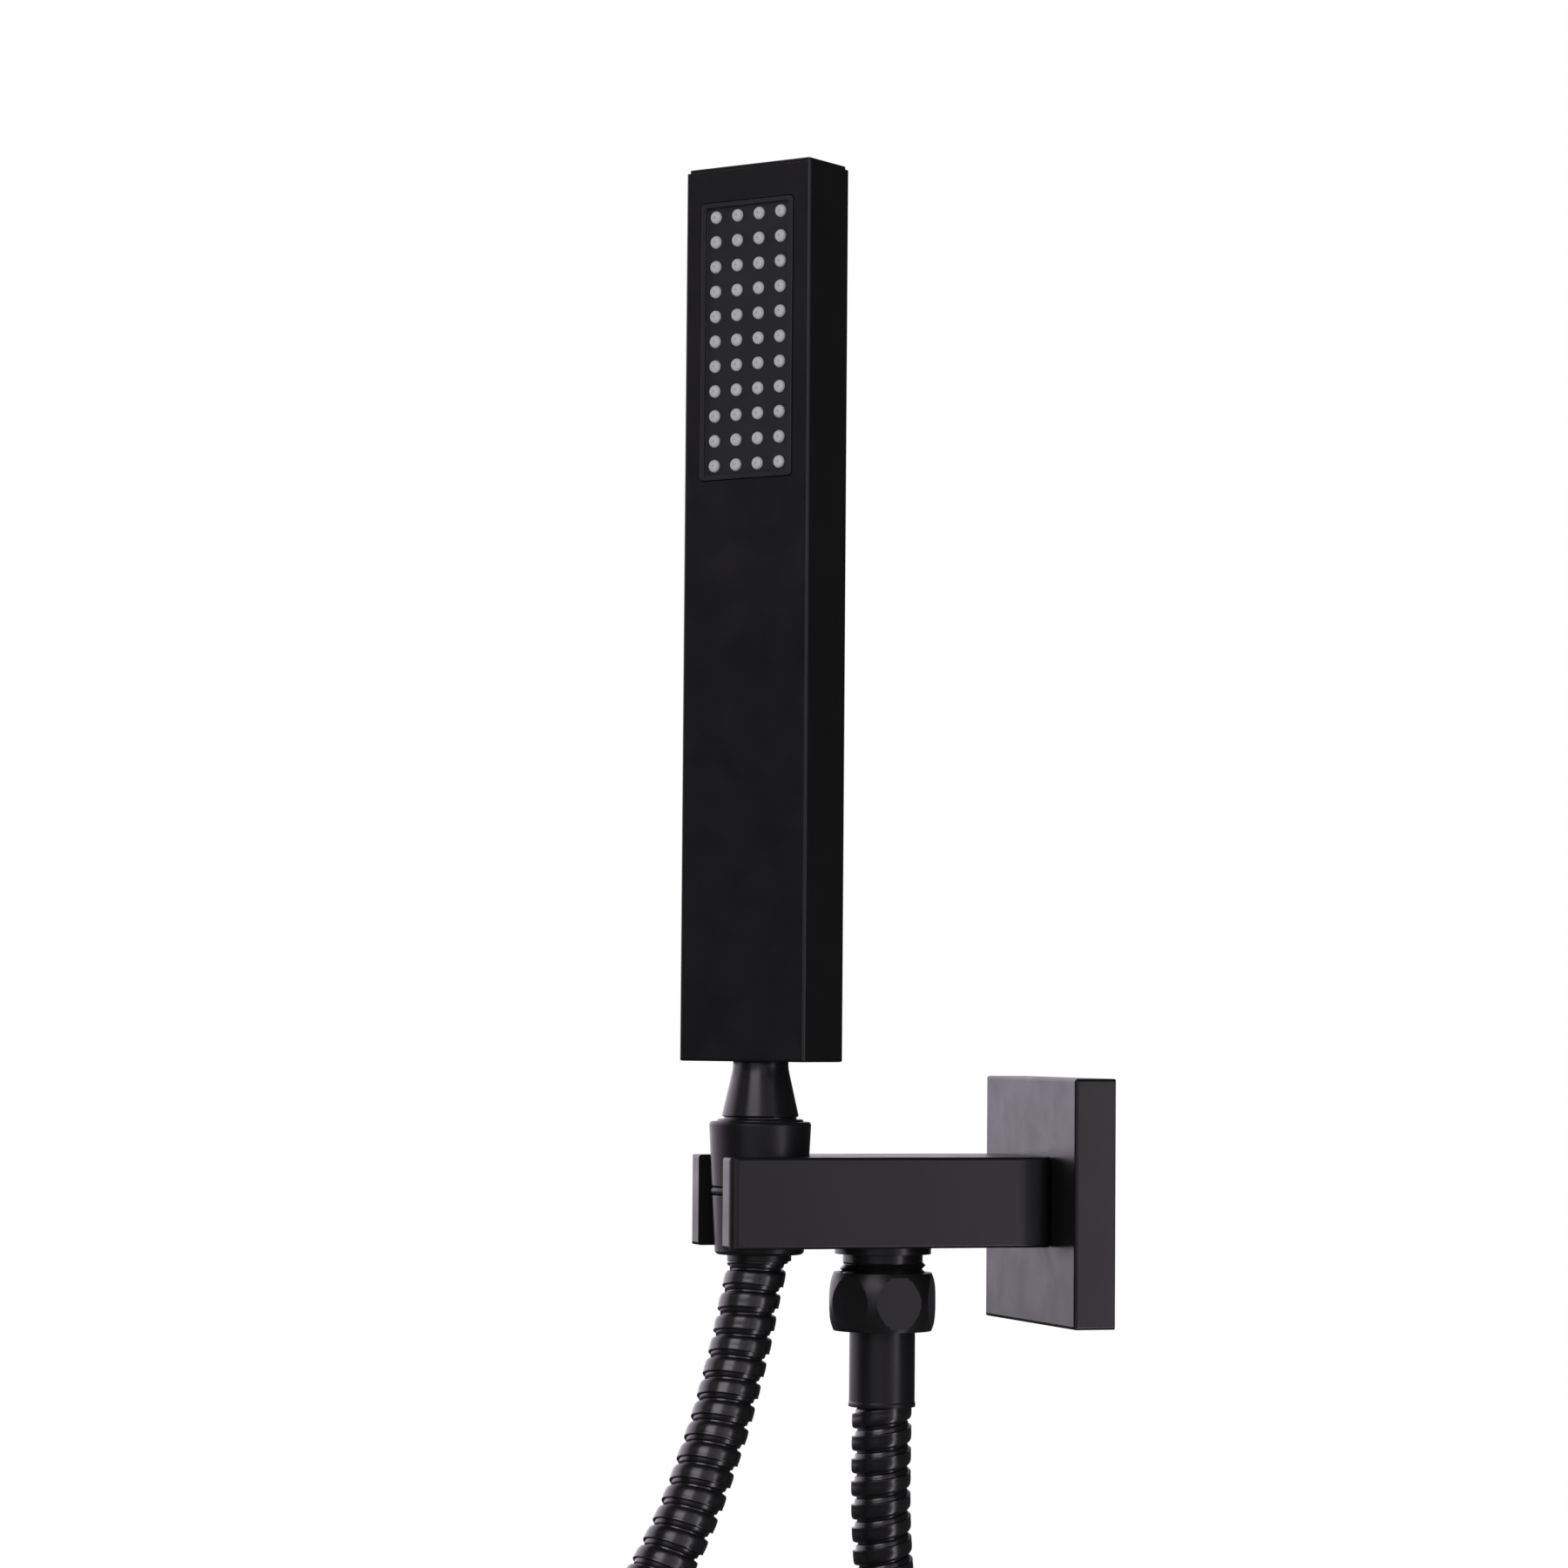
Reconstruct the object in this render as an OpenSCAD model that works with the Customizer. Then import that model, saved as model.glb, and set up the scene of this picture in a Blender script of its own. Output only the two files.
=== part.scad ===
// Stick hand shower standing in the fork of a square wall bracket with its own water outlet.
// Millimetres. +Z is up, the wall is the plane x = 0 and the bracket reaches along -X.
// The origin is the centre of the wall inlet, in the plane of the wall.

/* [Wall flange] */
// Side of the square wall flange
flange_w = 60; // [52:1:80]
// Depth of the flange, wall to front face
flange_t = 10.5; // [9:0.5:14]
// Wall thickness of the flange shell
flange_wall = 3.5; // [3:0.1:4.5]
// Rounding of the flange edges
flange_r = 0.8; // [0.4:0.1:1.5]
// Width of the cord seal let into the back of the flange
seal_w = 1.6; // [1:0.1:1.8]
// Depth of the cord seal
seal_t = 1.8; // [1:0.1:2.5]

/* [Wall inlet] */
// Thread diameter of the wall nipple that screws into the inlet
inlet_thread_d = 20.955; // [20.955, 26.441]
// Thickness of the web at the bottom of the inlet's thread
inlet_web = 1.5; // [1:0.1:2.5]
// Diameter of the nipple end that screws into the arm
stub_d = 16.66; // [14:0.01:17]
// Length of the nipple end inside the arm
stub_len = 13; // [9:0.5:15]
// Bore of the nipple
inlet_bore_d = 11; // [8:0.5:12]

/* [Bracket arm] */
// Wall to the centre of the fork
arm_reach = 80; // [74:1:100]
// Depth of the arm, front to back
arm_w = 32.5; // [31:0.5:40]
// Height of the arm
arm_h = 21.8; // [21:0.1:26]
// How far the middle of the arm lies below the middle of the flange
arm_drop = 0; // [0:0.1:1]
// Fork tips beyond the centre of the fork
fork_past = 12.4; // [10:0.2:18]
// Width of the slot between the fork tips
slot_w = 19.3; // [17:0.1:21]
// Corner radius of the fork tips
tip_r = 2; // [0.5:0.1:3]
// Corner radius of the arm where it meets the flange
root_r = 3.5; // [1:0.5:6]
// Rounding of the long edges
edge_r = 0.8; // [0.4:0.1:2]
// Bore of the waterway inside the arm
water_d = 9; // [7:0.5:10]

/* [Outlet under the arm] */
// Wall to the outlet axis
outlet_reach = 48.5; // [44:0.5:52]
// Diameter of the outlet rim
rim_d = 23.4; // [22:0.1:26]
// Thickness of the outlet rim
rim_t = 1.9; // [0.6:0.1:2]
// Diameter of the plain neck
outlet_neck_d = 19.4; // [18:0.1:20.5]
// Length of the plain neck
outlet_neck_h = 2.2; // [2:0.1:5]
// Thread diameter of the outlet and of the handset neck
hose_thread_d = 20.955; // [20.955:0.001:21]
// Length of the outlet thread
outlet_thread_h = 10; // [8:0.5:12]
// Stretch of thread left bare above the union nut
thread_bare = 2.3; // [0.5:0.1:3]
// Stub of the outlet inside the arm
outlet_stub_d = 15.8; // [14.8:0.1:16.4]
// Length of that stub
outlet_stub_h = 9; // [7:0.5:9]

/* [Check valve] */
// Outside diameter of the valve cartridge
valve_d = 13.4; // [13:0.1:14]
// Length of the cartridge
valve_h = 12.5; // [12:0.1:13.5]
// Bore of the cartridge
valve_bore_d = 9.4; // [9:0.1:9.8]
// Diameter of the poppet head
poppet_d = 8; // [7.6:0.1:8.2]
// Diameter of the poppet stem
stem_d = 2.2; // [1.6:0.1:2.6]
// How far the poppet opens
valve_lift = 2; // [1:0.1:2.5]
// Wire of the return spring
spring_wire_d = 0.6; // [0.4:0.1:0.8]
// Turns of the return spring
spring_turns = 5; // [4:1:7]

/* [Union nut and ferrule] */
// Largest diameter of the barrel-shaped union nut
union_d = 26.6; // [25.6:0.1:29]
// Height of the union nut
union_h = 14; // [13:0.5:18]
// Distance between opposite flats of the union nut
union_flats = 24.2; // [23.6:0.1:25.4]
// Radius of the barrel's curve
union_curve_r = 17.8; // [16:0.2:40]
// Diameter of the ferrule
ferrule_d = 15.9; // [15.1:0.1:17]
// Length of the ferrule
ferrule_h = 18.3; // [14:0.2:24]

/* [Hose] */
// Outside diameter of the hose
hose_d = 14.5; // [13:0.1:14.6]
// Radius of the stored coil at the middle of its turns
coil_r = 75; // [70:1:90]
// Turns lying side by side in the coil
coil_lanes = 3; // [3:1:3]
// Spacing of the turns
lane_step = 15.2; // [14.8:0.1:16]
// Width of the strap round the coil
tie_w = 9; // [6:1:14]
// Thickness of the strap
tie_t = 1.2; // [0.8:0.1:2]

/* [Handset nut] */
// Height of the tapered handset nut
nut_h = 31.8; // [30:0.2:36]
// Top diameter of the nut
nut_d_top = 24.6; // [24.2:0.1:27]
// Bottom diameter of the nut
nut_d_bot = 21.4; // [21.4:0.1:23]
// How far the nut hangs below the arm
nut_below = 1.8; // [0.5:0.1:4]
// Sealing ring's height above the nut's bottom
ring_up = 15.2; // [14:0.1:17]
// Section of the sealing ring
ring_d = 2; // [1.4:0.1:2.4]
// How far the ring stands out of the nut
ring_proud = 0.2; // [0.1:0.05:0.25]
// Play between the nut and its seat in the fork
seat_gap = 0.3; // [0.3:0.05:0.6]

/* [Hose tails and washers] */
// Thickness of the flange on each hose tail
tail_flange_t = 1.6; // [1:0.1:2]
// Diameter of the flange on each hose tail
tail_flange_d = 18.6; // [17:0.1:19]
// Diameter of the tail where it turns in the nut
tail_d = 12.8; // [11:0.1:13]
// Diameter of the barb inside the ferrule
barb_d = 9; // [8:0.1:9.6]
// Bore of each hose tail
tail_bore_d = 6.6; // [5:0.1:7]
// Thickness of the flat washers
washer_t = 2; // [1.5:0.1:2.5]
// Thickness of the strainer
strainer_t = 0.5; // [0.4:0.1:0.8]

/* [Handset neck] */
// Height from the top of the nut to the underside of the handset
neck_h = 14.4; // [12:0.2:20]
// Thread showing above the nut
neck_thread_bare = 0.6; // [0.2:0.1:1]
// Relief between the thread and the cone
neck_relief = 0.6; // [0.3:0.1:1.2]
// Lower diameter of the cone
cone_d_bot = 18.5; // [17:0.1:20.4]
// Upper diameter of the cone
cone_d_top = 13.4; // [11.6:0.1:13.6]
// Length of the neck's end inside the handset
spigot_h = 11; // [9:0.5:11.5]

/* [Handset bar] */
// Angle by which the spray face is turned from the arm's direction
swivel_rest = 37; // [0:1:90]
// Width of the bar
bar_w = 36.6; // [35:0.2:44]
// Depth of the bar
bar_d = 16.8; // [16.4:0.2:20]
// Length of the bar
bar_l = 215.7; // [190:1:240]
// Wall of the bar
bar_wall = 2; // [1.6:0.1:2.1]
// Rounding of the bar's edges
bar_r = 0.8; // [0.4:0.1:1.5]
// Thickness of the solid foot that the neck screws into
foot_h = 12; // [10:0.5:16]
// Height of the top cap above the bar
cap_rise = 1; // [0.6:0.1:2]
// Step between the bar's edge and the cap
cap_step = 0.5; // [0.3:0.1:0.8]
// Depth of the cap's skirt inside the bar
cap_skirt = 4; // [3:0.5:5]

/* [Spray face] */
// Width of the spray face
face_w = 27; // [25:0.2:27.6]
// Length of the spray face
face_l = 67.8; // [66:0.2:90]
// Top of the bar to the top of the spray face
face_drop = 7.8; // [7.6:0.2:20]
// Width of the raised rim
face_rim_w = 1.15; // [0.8:0.05:1.5]
// Height of the rim above the bar
face_rim_h = 0.3; // [0.1:0.05:0.6]
// Depth of the floor below the bar's surface
face_sink = 0.5; // [0.3:0.05:0.8]
// Nozzles across
nozzle_cols = 4; // [2:1:4]
// Nozzles along
nozzle_rows = 11; // [6:1:11]
// Spacing of the nozzles across
pitch_across = 6.33; // [5:0.01:6.5]
// Spacing of the nozzles along
pitch_along = 6.06; // [5:0.01:6.2]
// Diameter of a nozzle
nozzle_d = 3.1; // [2.4:0.1:3.4]
// Height of a nozzle above the floor
nozzle_rise = 0.9; // [0.5:0.1:1.6]
// Jet hole in a nozzle
jet_d = 0.9; // [0.6:0.1:1.2]

/* [Water chamber] */
// Thickness of the mat's sheet
mat_t = 1.2; // [0.8:0.1:1.4]
// Wall of the water chamber
tray_wall = 1.8; // [1.4:0.1:2]
// Outside diameter of the riser tube
riser_d = 7.2; // [6.4:0.1:7.4]
// Wall of the riser tube
riser_wall = 0.9; // [0.7:0.1:1.2]

/* [Hidden] */

$fn = 64;
cut = 1;            // how far a cut runs past the surface that it opens
thread_gap = 0.1;   // female threads are this much larger in radius
fit_gap = 0.05;     // slip fit inside one body, in radius
run_gap = 0.08;     // running fit between two bodies
face_gap = 0.1;     // play between flat faces that move apart or turn
black = [0.10, 0.10, 0.11];
brass = [0.78, 0.64, 0.34];
rubber = [0.07, 0.07, 0.07];
steel = [0.72, 0.72, 0.74];
plastic = [0.86, 0.86, 0.84];
silicone = [0.66, 0.65, 0.66];

// Heights on the arm
arm_top = arm_h / 2 - arm_drop;
arm_bot = -arm_h / 2 - arm_drop;
arm_l = arm_reach + fork_past - flange_t;

// Inlet, along X
socket_d = inlet_thread_d + 2 * thread_gap;
collar_flats = socket_d + 3;
collar_t = flange_t - flange_wall;
inlet_len = collar_t - inlet_web;
stub_x = -flange_t - stub_len;
arm_washer_t = 1.5;

// Outlet, downwards
rim_z = arm_bot - rim_t;
neck_z = rim_z - outlet_neck_h;
thread_z = neck_z - outlet_thread_h;
union_top = neck_z - thread_bare;
union_bot = union_top - union_h;
outlet_tail_z = thread_z - washer_t;
outlet_shoulder = outlet_tail_z - tail_flange_t;
ferrule_bot = union_bot - ferrule_h;
stub_z = arm_bot + outlet_stub_h;
stub_socket_d = outlet_stub_d + 2 * thread_gap;
stub_ring_d = 1.6;
stub_ring_z = arm_bot + outlet_stub_h / 2;

// Check valve, in the outlet
valve_socket_d = valve_d + 2 * fit_gap;
valve_z = thread_z;
valve_top = valve_z + valve_h;
seat_t = 1.4;
seat_hole_d = poppet_d - 1.6;
seat_z = valve_top - seat_t;
poppet_t = 1.4;
guide_t = 1.6;
guide_d = stem_d + 2.4;
port_d = (valve_bore_d - guide_d) / 2 - 0.4;
stem_len = valve_h - seat_t - guide_t + 1;
spring_r = stem_d / 2 + 1.1;
spring_top = seat_z - face_gap - poppet_t - 0.15;
spring_bot = valve_z + guide_t + 0.15;
spring_steps = 10;
valve_ring_d = 1.8;
valve_ring_z = valve_z + valve_h / 2;

// Handset nut and what it holds, on the fork's axis
nut_bot = arm_bot - nut_below;
nut_top = nut_bot + nut_h;
ring_z = nut_bot + ring_up;
ring_r = nut_r(ring_z) + ring_proud - ring_d / 2;
web_t = 2;
shoulder_z = ring_z + ring_d / 2 + 0.1 + web_t;
tail_z = shoulder_z + face_gap;
washer_z = tail_z + tail_flange_t;
strainer_z = washer_z + washer_t;
neck_z0 = strainer_z + strainer_t;
neck_thread_top = nut_top + neck_thread_bare;
cone_z = neck_thread_top + neck_relief;
bar_z = nut_top + neck_h;
boss_h = 0.8;
nut_bore_d = hose_thread_d + 2 * thread_gap;
tail_hole_d = tail_d + 2 * run_gap;
hose_room_d = hose_d + 1.2;
hidden_ferrule_d = hose_d + 0.5;
hidden_ferrule_z = nut_bot + 1.2;
hidden_ferrule_top = shoulder_z - web_t - 1.5;
restrictor_d = 14;
restrictor_t = 3;

// Bar and spray face, in the bar's own frame with the face towards -X
bar_top = bar_z + bar_l;
bar_in_w = bar_w - 2 * bar_wall;
bar_in_d = bar_d - 2 * bar_wall;
face_z = bar_top - face_drop - face_l / 2;
face_r = 1;
lip_w = 2;
lip_t = 1.2;
face_x = bar_d / 2;
inner_x = face_x - bar_wall;
floor_x = face_x - face_sink;
mat_x = inner_x - lip_t;
tray_w = face_w + 2 * lip_w;
tray_l = face_l + 2 * lip_w;
tray_back = inner_x - 0.2;
mat_w = tray_w - 2 * tray_wall + 2;
mat_l = tray_l - 2 * tray_wall + 2;
cavity_w = mat_w - 2;
cavity_l = mat_l - 2;
tray_z = face_z - tray_l / 2;
riser_hole_d = riser_d + 2 * fit_gap;
socket_h = 12;
riser_z0 = bar_z + 2;
riser_z1 = tray_z - 1;
riser_ring_d = 1.2;
riser_ring_z0 = riser_z0 + 2.5;
riser_ring_z1 = riser_z1 - 4;
neck_ring_d = 1.4;
neck_ring_z = bar_z + spigot_h - 3;
spigot_d = cone_d_top - 1.2;

// Hose route outside the coil: hand-chosen points
handset_leg = [
    [-80, 0, -12.9], [-80.6, 0, -17], [-82.2, -0.3, -23], [-84.7, -0.9, -33], [-88, -1.9, -43],
    [-91.8, -3.2, -52.5], [-95.9, -4.6, -61.5], [-100.3, -6.1, -71], [-105, -7.3, -80],
    [-110, -8.1, -88.5], [-115.6, -8.3, -96.5], [-122, -7.8, -104], [-129.2, -6.6, -111],
    [-137, -4.7, -118.3]
];
outlet_leg = [
    [-48.5, 0, -49.6], [-48.5, 0, -54], [-48.4, 0.5, -63], [-48.2, 1.1, -72.5], [-47.6, 1.8, -82],
    [-46.5, 2.4, -92.5], [-44.5, 2.7, -103], [-41.4, 2.6, -113], [-37.3, 1.9, -122.8], [-32.5, 0.8, -132.3]
];
tube_sides = 12;
// Centre of the coil and the angle of its plane
coil_x = -92.6;
coil_z = -181.5;
coil_turn = 14;
tie_angle = 150;
tie_gap = 0.3;

function nut_r(z) = nut_d_bot / 2 + (z - nut_bot) * (nut_d_top - nut_d_bot) / 2 / nut_h;
function barrel_r(z) = union_d / 2 - union_curve_r + sqrt(pow(union_curve_r, 2) - pow(z, 2));
function unit(v) = v / norm(v);
function along(p, i) = unit(p[min(i + 1, len(p) - 1)] - p[max(i - 1, 0)]);
function side_of(t) = unit(cross([0, 1, 0], t));

// ---- shared shapes ----

// The sharp tip outside a quarter circle, with the corner at the origin
module corner_tip(r) {
    difference() {
        translate([-r, -r]) square(r + cut);
        translate([-r, -r]) circle(r);
    }
}

// Rectangle round the origin with one radius on its left corners and one on its right
module rounded_rect(w, h, left_r, right_r) {
    difference() {
        square([w, h], center = true);
        for (up = [0, 1]) {
            mirror([0, up]) translate([w / 2, h / 2]) corner_tip(right_r);
            mirror([0, up]) mirror([1, 0]) translate([w / 2, h / 2]) corner_tip(left_r);
        }
    }
}

// Block from x = -l to 0, rounded in plan, in side view and in end view
module soft_block(l, w, h, plan_r, side_r, end_r) {
    intersection() {
        linear_extrude(h, center = true) translate([-l / 2, 0]) rounded_rect(l, w, plan_r[0], plan_r[1]);
        rotate([90, 0, 0]) linear_extrude(w, center = true) translate([-l / 2, 0])
            rounded_rect(l, h, side_r[0], side_r[1]);
        rotate([90, 0, -90]) linear_extrude(l) rounded_rect(w, h, end_r, end_r);
    }
}

// Plain ring with its foot at the origin
module ring(outer_d, inner_d, h) {
    difference() {
        cylinder(d = outer_d, h = h);
        translate([0, 0, -cut]) cylinder(d = inner_d, h = h + 2 * cut);
    }
}

// Round-section ring
module torus(r, d) {
    rotate_extrude() translate([r, 0]) circle(d / 2);
}

// Sealing ring in a groove round a shaft, pressed flat by the hole that the shaft sits in
module squeezed_ring(shaft_d, section_d, hole_d) {
    intersection() {
        torus(shaft_d / 2, section_d - 2 * fit_gap);
        cylinder(d = hole_d, h = 2 * section_d, center = true);
    }
}

// Places on the object
module at_outlet(z) { translate([-outlet_reach, 0, z]) children(); }
module at_fork(z) { translate([-arm_reach, 0, z]) children(); }
module at_bar(z) { translate([-arm_reach, 0, z]) rotate([0, 0, swivel_rest]) children(); }
module along_x(x) { translate([x, 0, 0]) rotate([0, 90, 0]) children(); }
// Drawings laid on the bar's front: the drawing's height runs up, and it is extruded outwards
module on_face(x) { translate([-x, 0, 0]) rotate([90, 0, -90]) children(); }

// Tube swept along a list of points
module swept_tube(points, d) {
    n = tube_sides;
    rings = [for (i = [0 : len(points) - 1])
        let (t = along(points, i), e = side_of(t), f = cross(t, e))
        for (k = [0 : n - 1]) points[i] + d / 2 * (cos(360 * k / n) * e + sin(360 * k / n) * f)];
    last = (len(points) - 1) * n;
    walls = [for (i = [0 : len(points) - 2], k = [0 : n - 1])
        [i * n + k, i * n + (k + 1) % n, (i + 1) * n + (k + 1) % n, (i + 1) * n + k]];
    ends = [[for (k = [n - 1 : -1 : 0]) k], [for (k = [0 : n - 1]) last + k]];
    polyhedron(rings, concat(walls, ends));
}

// ---- wall side ----

module wall_flange() {
    inner_w = flange_w - 2 * flange_wall;
    seal_mid = flange_w - flange_wall;
    color(black) difference() {
        soft_block(flange_t, flange_w, flange_w, [flange_r, 0.3], [flange_r, 0.3], flange_r);
        translate([-flange_t + flange_wall, -inner_w / 2, -inner_w / 2]) cube([flange_t, inner_w, inner_w]);
        along_x(-flange_t - cut) cylinder(d = stub_d + 1, h = flange_wall + 2 * cut);
        seal_frame(seal_mid, seal_w + 2 * fit_gap, seal_t + cut, cut);
    }
}

// Square frame of cord, its outer face at x = past
module seal_frame(mid_w, w, t, past) {
    on_face(-past) linear_extrude(t) difference() {
        square(mid_w + w, center = true);
        square(mid_w - w, center = true);
    }
}

module flange_seal() {
    color(rubber) seal_frame(flange_w - flange_wall, seal_w, seal_t, 0);
}

module inlet_nipple() {
    color(brass) difference() {
        union() {
            along_x(stub_x) cylinder(d = stub_d, h = -stub_x - collar_t);
            along_x(-collar_t) cylinder(d = collar_flats / cos(30), h = collar_t, $fn = 6);
        }
        along_x(stub_x - cut) cylinder(d = inlet_bore_d, h = -stub_x + 2 * cut);
        along_x(-inlet_len) cylinder(d = socket_d, h = inlet_len + cut);
    }
}

module inlet_washer() {
    color(rubber) along_x(stub_x - arm_washer_t) ring(stub_d - 0.4, water_d, arm_washer_t);
}

module bracket_arm() {
    stub_hole_d = stub_d + 2 * thread_gap;
    color(black) difference() {
        translate([-flange_t, 0, -arm_drop])
            soft_block(arm_l, arm_w, arm_h, [tip_r, root_r], [edge_r, edge_r], edge_r);
        // tapered seat and the slot that lets the hose through
        at_fork(arm_bot - cut) cylinder(r1 = nut_r(arm_bot - cut) + seat_gap,
            r2 = nut_r(arm_top + cut) + seat_gap, h = arm_h + 2 * cut);
        translate([-arm_reach - fork_past - cut, -slot_w / 2, arm_bot - cut])
            cube([fork_past + cut, slot_w, arm_h + 2 * cut]);
        // socket of the wall nipple, the waterway and the outlet's socket
        along_x(stub_x - arm_washer_t) cylinder(d = stub_hole_d, h = stub_len + arm_washer_t + cut);
        along_x(-outlet_reach) cylinder(d = water_d, h = outlet_reach);
        at_outlet(arm_bot - cut) cylinder(d = stub_socket_d, h = outlet_stub_h + cut);
        at_outlet(stub_z - cut) cylinder(d = water_d, h = cut - stub_z + water_d / 2 - 1);
    }
}

// ---- outlet ----

module outlet_nipple() {
    color(brass) at_outlet(0) difference() {
        union() {
            translate([0, 0, arm_bot]) cylinder(d = outlet_stub_d, h = outlet_stub_h);
            translate([0, 0, rim_z]) cylinder(d = rim_d, h = rim_t);
            translate([0, 0, neck_z]) cylinder(d = outlet_neck_d, h = outlet_neck_h);
            translate([0, 0, thread_z]) cylinder(d = hose_thread_d, h = outlet_thread_h);
        }
        translate([0, 0, thread_z - cut]) cylinder(d = valve_socket_d, h = valve_h + cut);
        translate([0, 0, valve_top - cut]) cylinder(d = poppet_d, h = stub_z - valve_top + 2 * cut);
        translate([0, 0, stub_ring_z]) torus(outlet_stub_d / 2, stub_ring_d);
    }
}

module outlet_seal() {
    color(rubber) at_outlet(stub_ring_z) squeezed_ring(outlet_stub_d, stub_ring_d, stub_socket_d);
}

module valve_body() {
    color(plastic) at_outlet(0) difference() {
        translate([0, 0, valve_z]) cylinder(d = valve_d, h = valve_h);
        translate([0, 0, valve_z + guide_t]) cylinder(d = valve_bore_d, h = valve_h - seat_t - guide_t);
        translate([0, 0, seat_z - cut]) cylinder(d = seat_hole_d, h = seat_t + 2 * cut);
        translate([0, 0, valve_ring_z]) torus(valve_d / 2, valve_ring_d);
        // six ports round the guide of the stem
        for (a = [0 : 60 : 300]) rotate(a) translate([(valve_bore_d + guide_d) / 4, 0, valve_z - cut])
            cylinder(d = port_d, h = guide_t + 2 * cut);
        translate([0, 0, valve_z - cut]) cylinder(d = stem_d + 2 * run_gap, h = guide_t + 2 * cut);
    }
}

module valve_seal() {
    color(rubber) at_outlet(valve_ring_z) squeezed_ring(valve_d, valve_ring_d, valve_socket_d);
}

module valve_poppet() {
    head_z = seat_z - face_gap - poppet_t;
    color(plastic) at_outlet(0) union() {
        translate([0, 0, head_z]) cylinder(d = poppet_d, h = poppet_t);
        translate([0, 0, head_z - stem_len + poppet_t]) cylinder(d = stem_d, h = stem_len);
    }
}

module valve_spring() {
    steps = spring_turns * spring_steps;
    rise = (spring_top - spring_bot - spring_wire_d) / steps;
    sides = 6;
    rings = [for (i = [0 : steps])
        let (a = 360 * i / spring_steps, m = [cos(a), sin(a), 0])
        for (k = [0 : sides - 1]) let (b = 360 * k / sides)
            m * (spring_r + spring_wire_d / 2 * cos(b)) + [0, 0, i * rise + spring_wire_d / 2 * sin(b)]];
    walls = [for (i = [0 : steps - 1], k = [0 : sides - 1])
        [i * sides + k, (i + 1) * sides + k, (i + 1) * sides + (k + 1) % sides, i * sides + (k + 1) % sides]];
    ends = [[for (k = [0 : sides - 1]) k], [for (k = [sides - 1 : -1 : 0]) steps * sides + k]];
    color(steel) at_outlet(spring_bot + spring_wire_d / 2) polyhedron(rings, concat(walls, ends));
}

module outlet_washer() {
    color(rubber) at_outlet(outlet_tail_z) ring(tail_flange_d, tail_bore_d + 2, washer_t);
}

module union_nut() {
    cap_t = outlet_shoulder - union_bot;
    bands = 12;
    color(black) at_outlet(union_bot + union_h / 2) difference() {
        rotate_extrude() polygon(concat(
            [[0, union_h / 2], [0, -union_h / 2]],
            [for (i = [0 : bands]) let (z = union_h * (i / bands - 0.5)) [barrel_r(z), z]]));
        // six flats
        for (a = [0 : 60 : 300]) rotate(a + 30)
            translate([union_flats / 2, -union_d, -union_h]) cube([union_d, 2 * union_d, 2 * union_h]);
        translate([0, 0, cap_t - union_h / 2]) cylinder(d = nut_bore_d, h = union_h);
        translate([0, 0, -union_h]) cylinder(d = tail_hole_d, h = 2 * union_h);
    }
}

// Hose tail: flange on top, turning neck, barb below
module hose_tail(top_z, neck_end, barb_end) {
    color(brass) difference() {
        union() {
            translate([0, 0, top_z - tail_flange_t]) cylinder(d = tail_flange_d, h = tail_flange_t);
            translate([0, 0, neck_end]) cylinder(d = tail_d, h = top_z - neck_end - tail_flange_t / 2);
            translate([0, 0, barb_end]) cylinder(d = barb_d, h = top_z - barb_end - tail_flange_t / 2);
        }
        translate([0, 0, barb_end - cut]) cylinder(d = tail_bore_d, h = top_z - barb_end + 2 * cut);
    }
}

module outlet_tail() {
    at_outlet(0) hose_tail(outlet_tail_z, union_bot, ferrule_bot + 1);
}

module outlet_ferrule() {
    bead_t = 1.2;
    color(black) at_outlet(ferrule_bot) difference() {
        union() {
            cylinder(d = ferrule_d, h = ferrule_h);
            cylinder(d = ferrule_d + 0.3, h = bead_t);
        }
        translate([0, 0, -cut]) cylinder(d = barb_d + 2 * fit_gap, h = ferrule_h + 2 * cut);
    }
}

// ---- hose ----

module outlet_hose() {
    color(black) swept_tube(outlet_leg, hose_d);
}

module handset_hose() {
    color(black) swept_tube(handset_leg, hose_d);
}

// Section of the coil's turns lying side by side
module coil_section(grow) {
    across = (coil_lanes - 1) * lane_step;
    square([hose_d + 2 * grow, across], center = true);
    for (s = [-1, 1]) translate([0, s * across / 2]) circle(d = hose_d + 2 * grow);
}

module at_coil() { translate([coil_x, 0, coil_z]) rotate([0, 0, -coil_turn]) children(); }

module hose_coil() {
    color(black) at_coil() rotate([90, 0, 0]) rotate_extrude($fn = 96) translate([coil_r, 0]) coil_section(0);
}

module coil_tie() {
    color(rubber) at_coil() rotate([0, -tie_angle, 0]) translate([coil_r, 0, 0])
        linear_extrude(tie_w, center = true) difference() {
            coil_section(tie_gap + tie_t);
            coil_section(tie_gap);
        }
}

// ---- handset end of the hose ----

module handset_tail() {
    at_fork(0) hose_tail(tail_z + tail_flange_t, hidden_ferrule_top, hidden_ferrule_z + 1);
}

module handset_ferrule() {
    color(black) at_fork(hidden_ferrule_z)
        ring(hidden_ferrule_d, barb_d + 2 * fit_gap, hidden_ferrule_top - hidden_ferrule_z);
}

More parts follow.
